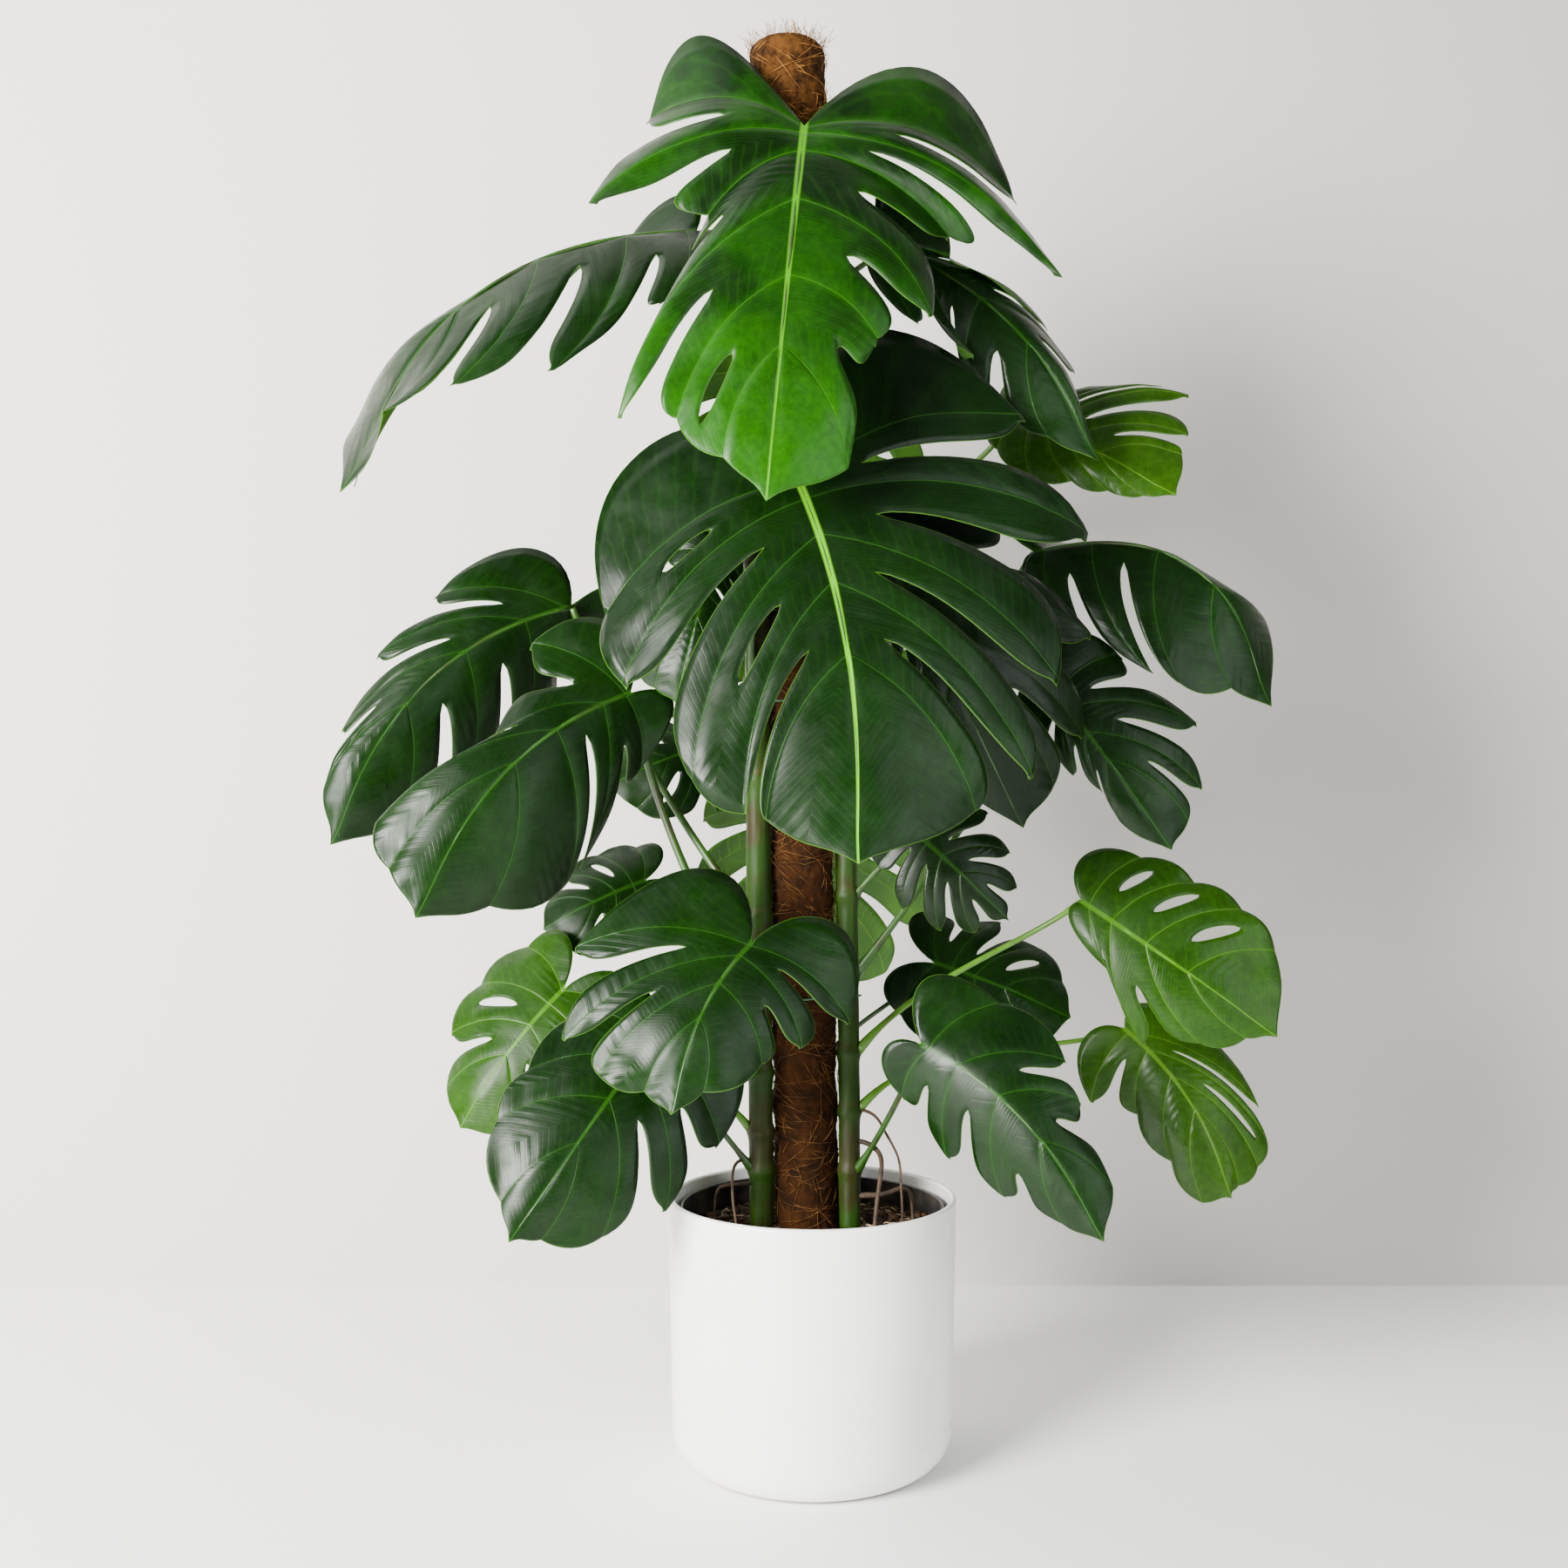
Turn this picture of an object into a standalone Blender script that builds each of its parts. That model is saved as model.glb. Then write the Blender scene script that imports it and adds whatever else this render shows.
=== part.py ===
"""Potted monstera: cover pot, grow pot, soil, coir pole, vines, air roots, leaf stalks and leaf blades.

Run with: blender --background --python part.py
Units are metres, +Z is up and the front faces -Y. The origin is at the middle of the cover pot's foot.
"""

import math

import bmesh
import bpy
from mathutils import Matrix, Vector
from mathutils.bvhtree import BVHTree

TOUCH_GAP = 0.0004

# Cover pot
POT_HEIGHT = 0.272
POT_RADIUS = 0.148
POT_TAPER = 0.004
POT_CORNER = 0.038
POT_WALL = 0.006
POT_FLOOR = 0.008
POT_SIDES = 40
POT_OUTER_CORNER_STEPS = 6
POT_INNER_CORNER_STEPS = 5
POT_LIP_STEPS = 4

# Grow pot inside it, and its soil
GROW_POT_CLEARANCE = 0.003
GROW_POT_WALL = 0.0015
GROW_POT_DEPTH_BELOW_RIM = 0.010
SOIL_BELOW_RIM = 0.030
SOIL_CROWN = 0.006
SOIL_FLAT_SHARE = 0.75
SOIL_SIDES = 32

# Coir pole on its stake
STAKE_RADIUS = 0.0125
STAKE_DEPTH = 0.150
STAKE_SIDES = 16
COIR_RADIUS = 0.0355
COIR_TOP_RADIUS = 0.0415
COIR_TOP_LENGTH = 0.120
COIR_SIDES = 24
COIR_FLARE_SHARE = 0.4
COIR_CROWN = ((0, 0.012), (0.010, 0.003))
POLE_LENGTH = 1.224
POLE_FOOT_X = -0.005
POLE_LEAN_X = -0.021

# Heights on the plant, below, are above the soil and for a pole of this length. They grow with it.
NOMINAL_POLE_LENGTH = 1.224

# Vines beside the pole: angle at the foot, turn on the way up, height and radius
VINE_RESOLUTION = 6
VINE_STEP = 0.10
VINES = {
    "vine_left": {"angle": 196, "turn": 22, "top": 0.818, "radius": 0.0125},
    "vine_right": {"angle": -22, "turn": 30, "top": 0.688, "radius": 0.0110},
    "vine_back": {"angle": 88, "turn": -20, "top": 1.118, "radius": 0.0115},
}

# Ties that hold the vines to the pole
TIE_RADIUS = 0.0012
TIE_STEPS = 36
TIE_RESOLUTION = 1
TIE_HEIGHTS = {"tie_lower": 0.233, "tie_upper": 0.538}

# Leaf stalks
STALK_POINTS = 7
STALK_RESOLUTION = 2
STALK_START_UPWARD = 1.3
STALK_REACH = 0.36
STALK_AIM = 0.9
STALK_START_GAP = 0.0003
STALK_END_GAP = 0.0004
SEATING_STEPS = 14
SEATING_SHARE = 0.8
SEATING_RINGS = 6
SEATING_POINTS = 12

# Leaf blades
BLADE_THICKNESS = 0.0016
BLADE_ROWS = 3
VEIN_BEND = 0.20
VEIN_ARCH = 0.10
EAR_DROOP = 0.6
SLOT_NARROWING = 0.50
SLOT_CLOSING = 0.50
LOBE_FRONT_TAPER = 6
LOBE_BACK_TAPER = 3.5
LOBE_END_WIDTH = 0.06
WHOLE_START = 0.45
SLOT_ROWS_OF_THREE = (0.70,)
SLOT_ROWS_OF_FOUR = (0.50, 0.82)
MERGE_DISTANCE = 0.00005

# Flat outlines of the blades, as shares of the length from stalk to tip.
# roots: where the side veins leave the midrib.
# left, right: where each side vein ends, (across, along) or (across, along, lift above the plane).
# left_slots, right_slots: the cut beyond each vein, (start, end) as shares of the veins beside it,
# with an end of 1 where it is open at the rim, or None where the blade is whole.
# left_ear, right_ear: two pulls of the curve from the stalk round the first lobe to its tip.
OUTLINES = {
    "largest": {
        "roots": (0.01, 0.07, 0.18, 0.32, 0.52),
        "left": ((0.52, 0.29), (0.50, 0.49), (0.36, 0.77), (0.245, 0.87), (0.20, 0.89)),
        "left_slots": ((0.40, 0.66), (0.22, 1), (0.26, 0.60), (0.22, 1), None),
        "left_ear": ((0.10, -0.35), (0.62, -0.20)),
        "right": ((0.62, -0.15, 0.06), (0.75, 0.18), (0.58, 0.60), (0.466, 0.85), (0.31, 0.92)),
        "right_slots": ((0.24, 1), (0.22, 1), (0.18, 1), (0.20, 1), None),
        "right_ear": ((0.03, -0.46), (0.34, -0.62)),
    },
    "upper": {
        "roots": (0.01, 0.03, 0.10, 0.27, 0.50, 0.68),
        "left": ((0.38, -0.08, -0.12), (0.47, 0.26, -0.14), (0.20, 0.28, -0.06), (0.34, 0.86),
                 (0.21, 0.86), (0.10, 0.95)),
        "left_slots": ((0.42, 1), (0.42, 1), (0.45, 1), (0.42, 1), (0.45, 0.90), None),
        "left_ear": ((0.16, -0.20), (0.33, -0.48)),
        "right": ((0.50, 0.03, -0.12), (0.61, 0.29, -0.09), (0.36, 0.24, -0.06), (0.33, 0.53),
                  (0.21, 0.62), (0.17, 0.93)),
        "right_slots": ((0.35, 1), (0.28, 1), (0.35, 1), (0.40, 1), (0.55, 1), None),
        "right_ear": ((0.12, -0.22), (0.36, -0.42)),
    },
    "top_left": {
        "roots": (0.02, 0.14, 0.34, 0.56),
        "left": ((0.16, 0.14, -0.20), (0.27, 0.45, -0.35), (0.26, 0.68, -0.30), (0.20, 0.88, -0.12)),
        "left_slots": ((0.3, 1), (0.25, 1), (0.3, 1), None),
        "left_ear": ((0.06, -0.12), (0.18, -0.06)),
        "right": ((0.15, 0.22, 0.10), (0.14, 0.53, 0.12), (0.02, 0.71, 0.12), (-0.05, 0.86, 0.08)),
        "right_slots": ((0.25, 1), (0.16, 1), (0.22, 1), None),
        "right_ear": ((0.08, -0.12), (0.18, -0.02)),
    },
    "top_right": {
        "roots": (0.03, 0.16, 0.36, 0.58),
        "left": ((0.15, 0.28, 0.05), (0.10, 0.50, 0.08), (0.22, 0.64, -0.05), (0.08, 0.86)),
        "left_slots": ((0.25, 1), (0.25, 1), (0.3, 1), None),
        "left_ear": ((0.05, -0.10), (0.18, 0.05)),
        "right": ((0.05, 0.22, 0.12), (0.27, 0.56, -0.12), (0.22, 0.74, -0.12), (0.06, 0.90)),
        "right_slots": ((0.25, 1), (0.3, 1), (0.4, 1), None),
        "right_ear": ((0.16, -0.38), (0.38, 0.00)),
    },
    "left_back": {
        "roots": (0.02, 0.14, 0.34, 0.58),
        "left": ((0.32, 0.26), (0.31, 0.52), (0.22, 0.76), (0.13, 0.93)),
        "left_slots": ((0.30, 1), (0.30, 1), (0.5, 1), None),
        "left_ear": ((0.14, -0.18), (0.36, -0.04)),
        "right": ((0.12, -0.02, -0.20), (0.16, 0.40, -0.28), (0.16, 0.66, -0.22), (0.08, 0.84, -0.12)),
        "right_slots": ((0.35, 1), (0.20, 1), (0.20, 1), None),
        "right_ear": ((0.02, -0.22), (0.14, -0.20)),
    },
    "left_front": {
        "roots": (0.02, 0.10, 0.28, 0.46),
        "left": ((0.36, 0.08), (0.22, 0.43), (0.31, 0.88), (0.17, 0.97)),
        "left_slots": ((0.42, 1), (0.40, 1), None, None),
        "left_ear": ((0.12, -0.26), (0.36, -0.16)),
        "right": ((0.19, 0.14, -0.10), (0.265, 0.52, -0.16), (0.27, 0.60, -0.13), (0.14, 0.84, -0.05)),
        "right_slots": ((0.40, 1), (0.12, 1), None, None),
        "right_ear": ((0.10, -0.18), (0.18, -0.08)),
    },
    "right_upper": {
        "roots": (0.03, 0.16, 0.38, 0.62),
        "left": ((0.19, 0.27, 0.06), (0.17, 0.62, 0.12), (0.14, 0.72, 0.10), (0.04, 0.88, 0.05)),
        "left_slots": ((0.25, 1), (0.12, 1), None, None),
        "left_ear": ((0.06, -0.06), (0.20, 0.08)),
        "right": ((0.13, 0.02, -0.20), (0.26, 0.30, -0.35), (0.33, 0.55, -0.32), (0.28, 0.84, -0.12)),
        "right_slots": ((0.35, 1), (0.3, 1), (0.4, 1), None),
        "right_ear": ((-0.02, -0.30), (0.20, -0.26)),
    },
    "right_middle": {
        "roots": (0.03, 0.12, 0.28, 0.46),
        "left": ((0.22, 0.12), (0.19, 0.42), (0.12, 0.57), (0.13, 0.76)),
        "left_slots": ((0.35, 1), (0.40, 1), (0.40, 1), None),
        "left_ear": ((0.05, -0.22), (0.26, -0.12)),
        "right": ((0.42, 0.02), (0.53, 0.56), (0.34, 0.86), (0.17, 0.96)),
        "right_slots": ((0.30, 1), (0.30, 1), (0.45, 1), None),
        "right_ear": ((0.05, -0.30), (0.38, -0.30)),
    },
    "right_low": {
        "roots": (0.04, 0.16, 0.34, 0.56),
        "left": ((0.19, 0.32), (0.37, 0.58), (0.22, 0.78), (0.08, 0.93)),
        "left_slots": ((0.35, 1), (0.45, 1), None, None),
        "left_ear": ((0.08, -0.10), (0.18, 0.08)),
        "right": ((0.33, 0.10), (0.37, 0.36), (0.39, 0.60), (0.32, 0.82)),
        "right_slots": ((0.35, 0.80), (0.32, 0.80), (0.30, 0.80), None),
        "right_ear": ((0.10, -0.22), (0.32, -0.10)),
    },
    "low_front": {
        "roots": (0.02, 0.10, 0.30, 0.52),
        "left": ((0.86, 0.39), (0.70, 0.88), (0.44, 0.98), (0.18, 0.97)),
        "left_slots": ((0.32, 1), (0.45, 1), None, None),
        "left_ear": ((0.15, -0.52), (0.66, -0.42)),
        "right": ((0.67, 0.13), (0.48, 0.40), (0.32, 0.58), (0.10, 0.86)),
        "right_slots": ((0.32, 1), (0.50, 1), None, None),
        "right_ear": ((0.08, -0.58), (0.66, -0.74)),
    },
    "lowest_left": {
        "roots": (0.03, 0.14, 0.34, 0.56),
        "left": ((0.28, 0.05), (0.35, 0.42), (0.33, 0.66), (0.12, 0.92)),
        "left_slots": (None, None, None, None),
        "left_ear": ((0.06, -0.22), (0.32, -0.22)),
        "right": ((0.49, 0.20), (0.46, 0.56), (0.30, 0.80), (0.10, 0.95)),
        "right_slots": ((0.50, 1), (0.30, 1), None, None),
        "right_ear": ((0.06, -0.28), (0.52, -0.28)),
    },
    "low_right_front": {
        "roots": (0.03, 0.16, 0.36, 0.60),
        "left": ((0.20, 0.18, -0.12), (0.10, 0.50, -0.20), (0.09, 0.66, -0.16), (0.04, 0.86, -0.06)),
        "left_slots": (None, (0.50, 1), None, None),
        "left_ear": ((0.05, -0.14), (0.22, -0.06)),
        "right": ((0.35, 0.02), (0.38, 0.42), (0.26, 0.64), (0.16, 0.92)),
        "right_slots": ((0.55, 1), (0.35, 1), (0.55, 1), None),
        "right_ear": ((0.10, -0.24), (0.32, -0.20)),
    },
    "right_lowest": {
        "roots": (0.03, 0.22, 0.42, 0.62),
        "left": ((0.20, 0.32), (0.06, 0.56, -0.10), (0.03, 0.78, -0.08), (0.02, 0.92, -0.03)),
        "left_slots": ((0.25, 1), (0.45, 1), None, None),
        "left_ear": ((0.05, -0.08), (0.22, 0.06)),
        "right": ((0.26, 0.06), (0.44, 0.70), (0.30, 0.92), (0.10, 0.98)),
        "right_slots": ((0.22, 1), (0.22, 1), None, None),
        "right_ear": ((0.08, -0.32), (0.28, -0.22)),
    },
    "far_right": {
        "roots": (0.03, 0.12, 0.22, 0.36, 0.55),
        "left": ((0.20, 0.02), (0.26, 0.27), (0.20, 0.50), (0.15, 0.70), (0.08, 0.88)),
        "left_slots": (None, None, None, None, None),
        "left_ear": ((0.05, -0.12), (0.20, -0.12)),
        "right": ((0.35, 0.06), (0.63, 0.58), (0.68, 0.74), (0.42, 0.88), (0.27, 0.92)),
        "right_slots": ((0.30, 1), (0.22, 1), (0.22, 1), (0.30, 1), None),
        "right_ear": ((0.06, -0.25), (0.32, -0.20)),
    },
    "deep": {
        "roots": (0.02, 0.12, 0.28, 0.48),
        "left": ((0.40, -0.04), (0.52, 0.34), (0.44, 0.68), (0.26, 0.90)),
        "left_slots": ((0.26, 1), (0.24, 1), (0.26, 1), (0.5, 1)),
        "left_ear": ((0.06, -0.30), (0.38, -0.34)),
        "right": ((0.44, -0.04), (0.56, 0.30), (0.44, 0.66), (0.26, 0.90)),
        "right_slots": ((0.26, 1), (0.24, 1), (0.28, 1), (0.5, 1)),
        "right_ear": ((0.06, -0.30), (0.38, -0.34)),
    },
    "windowed": {
        "roots": (0.02, 0.13, 0.30, 0.52),
        "left": ((0.42, -0.08), (0.50, 0.28), (0.44, 0.62), (0.25, 0.90)),
        "left_slots": (None, (0.30, 0.80), (0.34, 1), None),
        "left_ear": ((0.08, -0.34), (0.38, -0.38)),
        "right": ((0.42, -0.08), (0.52, 0.32), (0.44, 0.66), (0.25, 0.90)),
        "right_slots": ((0.42, 1), (0.30, 1), (0.3, 0.8), None),
        "right_ear": ((0.08, -0.34), (0.38, -0.38)),
    },
}

# The leaves: where each blade starts and ends, (x, y, height), the way it faces, its outline, and its
# stalk's vine, height on the vine and radius.
# droop is how far the two sides hang, bow how far the midrib arches.
LEAVES = {
    "top_front": {"base": (-0.009, -0.080, 1.102), "tip": (-0.044, -0.240, 0.719),
                  "face": (0.05, -1, 0.55),
                  "outline": "upper", "droop": (0.10, 0.15), "bow": 0.08, "rows": 4,
                  "vine": "vine_left", "height": 0.788, "stalk": 0.0040},
    "middle_front": {"base": (-0.017, -0.150, 0.743), "tip": (0.034, -0.270, 0.394),
                     "face": (0.05, -1, 0.30),
                     "outline": "largest", "droop": (0.20, 0.20), "bow": 0.05, "sway": 0.05, "rows": 4,
                     "vine": "vine_left", "height": 0.558, "stalk": 0.0045},
    "top_left": {"base": (-0.119, 0.000, 1.024), "tip": (-0.448, -0.100, 0.743), "face": (-0.1, -1, 0.2),
                 "outline": "top_left", "droop": (0.1, 0.1), "bow": 0.04, "sway": -0.18,
                 "vine": "vine_back", "height": 0.858, "stalk": 0.0035},
    "top_right": {"base": (0.073, -0.030, 1.000), "tip": (0.280, -0.045, 0.784), "face": (0.1, -1, 0.2),
                  "outline": "top_right", "droop": (0.1, 0.1), "bow": 0.05, "sway": 0.10,
                  "vine": "vine_back", "height": 0.958, "stalk": 0.0035},
    "far_right": {"base": (0.215, 0.060, 0.843), "tip": (0.370, 0.000, 0.753), "face": (0, -1, 0.3),
                  "outline": "far_right", "droop": (0.25, 0.25), "bow": 0.06,
                  "vine": "vine_back", "height": 0.658, "stalk": 0.0035},
    "left_back": {"base": (-0.258, 0.080, 0.645), "tip": (-0.489, 0.000, 0.399), "face": (0, -1, 0.1),
                  "outline": "left_back", "droop": (0.2, 0.2), "bow": 0.07, "sway": -0.13,
                  "vine": "vine_left", "height": 0.318, "stalk": 0.0040},
    "left_front": {"base": (-0.182, -0.060, 0.544), "tip": (-0.369, -0.160, 0.334),
                   "face": (0.1, -1, 0.1),
                   "outline": "left_front", "droop": (0.25, 0.25), "bow": 0.06, "sway": -0.11,
                   "vine": "vine_left", "height": 0.248, "stalk": 0.0045},
    "right_upper": {"base": (0.236, 0.050, 0.699), "tip": (0.466, 0.000, 0.539), "face": (-0.1, -1, 0.1),
                    "outline": "right_upper", "droop": (0.1, 0.1), "bow": 0.05, "sway": 0.26,
                    "vine": "vine_right", "height": 0.458, "stalk": 0.0035},
    "right_middle": {"base": (0.247, -0.020, 0.548), "tip": (0.356, -0.050, 0.392), "face": (0, -1, 0.1),
                     "outline": "right_middle", "droop": (0.25, 0.25), "bow": 0.05,
                     "vine": "vine_right", "height": 0.258, "stalk": 0.0035},
    "behind_right": {"base": (0.070, -0.080, 0.678), "tip": (0.205, -0.060, 0.418), "face": (0, -1, 0.2),
                     "outline": "right_middle", "droop": (0.2, 0.2), "bow": 0.06,
                     "vine": "vine_right", "height": 0.508, "stalk": 0.0035},
    "right_dark": {"base": (0.105, -0.030, 0.403), "tip": (0.195, -0.040, 0.318), "face": (0, -1, 0.2),
                   "outline": "deep", "droop": (0.3, 0.3), "bow": 0.06,
                   "vine": "vine_right", "height": 0.338, "stalk": 0.0030},
    "low_front": {"base": (-0.060, -0.150, 0.302), "tip": (-0.129, -0.220, 0.158), "face": (0, -1, 0.1),
                  "outline": "low_front", "droop": (0.25, 0.25), "bow": 0.08, "sway": -0.08,
                  "vine": "vine_left", "height": 0.158, "stalk": 0.0035},
    "lowest_left": {"base": (-0.158, -0.080, 0.204), "tip": (-0.282, -0.170, 0.031), "face": (0, -1, 0.1),
                    "outline": "lowest_left", "droop": (0.25, 0.25), "bow": 0.06,
                    "vine": "vine_left", "height": 0.058, "stalk": 0.0030},
    "far_left_low": {"base": (-0.260, 0.030, 0.238), "tip": (-0.360, 0.000, 0.103),
                     "face": (-0.2, -1, 0.4),
                     "outline": "windowed", "droop": (0.3, 0.3), "bow": 0.10,
                     "vine": "vine_left", "height": 0.098, "stalk": 0.0028},
    "left_low_back": {"base": (-0.180, 0.100, 0.348), "tip": (-0.285, 0.080, 0.298), "face": (0, -1, 0.6),
                      "outline": "windowed", "droop": (0.3, 0.3), "bow": 0.06,
                      "vine": "vine_back", "height": 0.198, "stalk": 0.0028},
    "right_low": {"base": (0.273, -0.030, 0.334), "tip": (0.451, -0.080, 0.208), "face": (0, -1, 0.1),
                  "outline": "right_low", "rows": 4, "droop": (0.25, 0.3), "bow": 0.06,
                  "vine": "vine_right", "height": 0.178, "stalk": 0.0032},
    "right_lowest": {"base": (0.328, 0.030, 0.196), "tip": (0.424, -0.020, 0.036), "face": (0, -1, 0.1),
                     "outline": "right_lowest", "droop": (0.2, 0.3), "bow": 0.06, "sway": 0.08,
                     "vine": "vine_right", "height": 0.118, "stalk": 0.0030},
    "low_right_front": {"base": (0.103, -0.130, 0.203), "tip": (0.259, -0.200, 0.039),
                        "face": (0, -1, 0.1),
                        "outline": "low_right_front", "droop": (0.2, 0.3), "bow": 0.06, "sway": 0.09,
                        "vine": "vine_right", "height": 0.058, "stalk": 0.0032},
    "low_right_back": {"base": (0.135, 0.100, 0.258), "tip": (0.275, 0.080, 0.203), "face": (0, -1, 0.5),
                       "outline": "windowed", "droop": (0.3, 0.3), "bow": 0.06,
                       "vine": "vine_back", "height": 0.138, "stalk": 0.0028},
    "behind_left": {"base": (-0.090, 0.120, 0.503), "tip": (-0.215, 0.090, 0.453),
                    "face": (-0.1, -1, 0.5),
                    "outline": "windowed", "droop": (0.3, 0.3), "bow": 0.06,
                    "vine": "vine_back", "height": 0.318, "stalk": 0.0030},
    "upper_behind_left": {"base": (-0.095, -0.060, 0.683), "tip": (-0.135, -0.070, 0.538),
                          "face": (-0.2, -1, 0.2),
                          "outline": "left_front", "droop": (0.1, 0.1), "bow": 0.06,
                          "vine": "vine_left", "height": 0.458, "stalk": 0.0030},
    "back_upper": {"base": (-0.030, 0.170, 0.908), "tip": (-0.010, 0.360, 0.678),
                   "face": (-0.1, 0.85, 0.5),
                   "outline": "windowed", "droop": (0.25, 0.25), "bow": 0.07,
                   "vine": "vine_back", "height": 0.718, "stalk": 0.0038},
    "back_middle": {"base": (0.050, 0.170, 0.658), "tip": (0.080, 0.360, 0.438), "face": (0.1, 0.85, 0.5),
                    "outline": "deep", "droop": (0.25, 0.25), "bow": 0.07,
                    "vine": "vine_back", "height": 0.398, "stalk": 0.0038},
    "back_low": {"base": (0.000, 0.200, 0.418), "tip": (0.030, 0.380, 0.208), "face": (0.1, 0.85, 0.5),
                 "outline": "windowed", "droop": (0.25, 0.25), "bow": 0.07,
                 "vine": "vine_back", "height": 0.238, "stalk": 0.0035},
}

# Air roots from the vines down to the soil: vine, height where each leaves it, and where it ends
AIR_ROOT_RADIUS = 0.0022
AIR_ROOT_RESOLUTION = 1
AIR_ROOT_POINTS = 10
AIR_ROOT_START_TILT = 0.0007
AIR_ROOT_START_REACH = 0.04
AIR_ROOT_END_REACH = 0.06
AIR_ROOTS = {
    "air_root_right": {"vine": "vine_right", "height": 0.033, "end": (0.105, 0.010)},
    "air_root_front": {"vine": "vine_right", "height": 0.088, "end": (0.060, -0.080)},
}

COLOURS = {
    "glaze": ((0.83, 0.82, 0.80), 0.35),
    "black_plastic": ((0.02, 0.02, 0.02), 0.5),
    "soil": ((0.030, 0.018, 0.010), 0.95),
    "coir": ((0.16, 0.075, 0.03), 0.95),
    "stake": ((0.05, 0.04, 0.03), 0.7),
    "vine": ((0.07, 0.13, 0.03), 0.5),
    "stalk": ((0.09, 0.19, 0.03), 0.4),
    "root": ((0.06, 0.04, 0.025), 0.8),
    "tie": ((0.01, 0.05, 0.02), 0.5),
    "leaf": ((0.02, 0.07, 0.02), 0.35),
}

model = bpy.data.collections.new("potted_monstera")


def clear_scene():
    for old in list(bpy.data.objects):
        bpy.data.objects.remove(old)
    bpy.context.scene.collection.children.link(model)


def paint(piece, name):
    """Give a sub-part its own material."""
    colour, roughness = COLOURS[name]
    material = bpy.data.materials.new(piece.name + "_" + name)
    material.use_nodes = True
    shader = material.node_tree.nodes["Principled BSDF"]
    shader.inputs["Base Color"].default_value = (*colour, 1)
    shader.inputs["Roughness"].default_value = roughness
    shader.inputs["Metallic"].default_value = 0
    piece.data.materials.append(material)


def add_object(name, data, colour):
    piece = bpy.data.objects.new(name, data)
    model.objects.link(piece)
    paint(piece, colour)
    return piece


def soil_top():
    return POT_HEIGHT - SOIL_BELOW_RIM


def pole_top():
    return soil_top() + POLE_LENGTH


def level(height):
    """The level in the frame of a height on the plant."""
    return soil_top() + height * POLE_LENGTH / NOMINAL_POLE_LENGTH


def plant_point(place):
    """A place on the plant, (x, y, height above the soil), as a point of the frame."""
    return Vector((place[0], place[1], level(place[2])))


def pole_axis(z):
    """The middle of the leaning pole at a level."""
    return Vector((POLE_FOOT_X + POLE_LEAN_X * (z - soil_top()) / POLE_LENGTH, 0, z))


def add_turned(name, profile, sides, colour):
    """A turned piece from a profile of (radius, height) points that starts on the axis and ends on it."""
    work = bmesh.new()
    points = [work.verts.new((radius, 0, height)) for radius, height in profile]
    for first, second in zip(points, points[1:]):
        work.edges.new((first, second))
    mesh = bpy.data.meshes.new(name)
    work.to_mesh(mesh)
    work.free()
    piece = add_object(name, mesh, colour)
    turn = piece.modifiers.new("turn", "SCREW")
    turn.steps = sides
    turn.render_steps = sides
    turn.use_merge_vertices = True
    turn.merge_threshold = 0.0001
    return piece


def keep_turned(piece):
    """Make a turned piece a plain mesh, to be reshaped."""
    evaluated = piece.evaluated_get(bpy.context.evaluated_depsgraph_get())
    mesh = bpy.data.meshes.new_from_object(evaluated)
    piece.modifiers.clear()
    piece.data = mesh
    return mesh


def corner_arc(centre, radius, start, end, steps):
    """Points on an arc between two angles in degrees."""
    points = []
    for step in range(steps + 1):
        angle = math.radians(start + (end - start) * step / steps)
        points.append((centre[0] + radius * math.cos(angle), centre[1] + radius * math.sin(angle)))
    return points


def add_cover_pot():
    foot_side = POT_RADIUS - POT_TAPER
    lip = POT_WALL / 2
    inner_corner = POT_CORNER - POT_WALL
    inner_side = foot_side - POT_WALL
    profile = [(0, POT_FLOOR)]
    inner_centre = (inner_side - inner_corner, POT_FLOOR + inner_corner)
    profile += corner_arc(inner_centre, inner_corner, -90, 0, POT_INNER_CORNER_STEPS)
    profile += corner_arc((POT_RADIUS - lip, POT_HEIGHT - lip), lip, 180, 0, POT_LIP_STEPS)
    outer_centre = (foot_side - POT_CORNER, POT_CORNER)
    profile += corner_arc(outer_centre, POT_CORNER, 0, -90, POT_OUTER_CORNER_STEPS)
    profile += [(0, 0)]
    add_turned("cover_pot", profile, POT_SIDES, "glaze")


def grow_pot_radius():
    return POT_RADIUS - POT_TAPER - POT_WALL - GROW_POT_CLEARANCE


def grow_pot_floor():
    return POT_FLOOR + TOUCH_GAP


def add_grow_pot():
    """The thin plastic pot that the plant grows in. It stands in the cover pot."""
    top = POT_HEIGHT - GROW_POT_DEPTH_BELOW_RIM
    foot = POT_RADIUS - POT_TAPER - POT_CORNER
    shoulder = POT_FLOOR + POT_CORNER
    outer = grow_pot_radius()
    floor = grow_pot_floor()
    wall = GROW_POT_WALL
    profile = [(0, floor + wall), (foot - wall, floor + wall),
               (outer - wall, shoulder), (outer - wall, top),
               (outer, top), (outer, shoulder - wall), (foot, floor), (0, floor)]
    add_turned("grow_pot", profile, SOIL_SIDES, "black_plastic")


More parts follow.
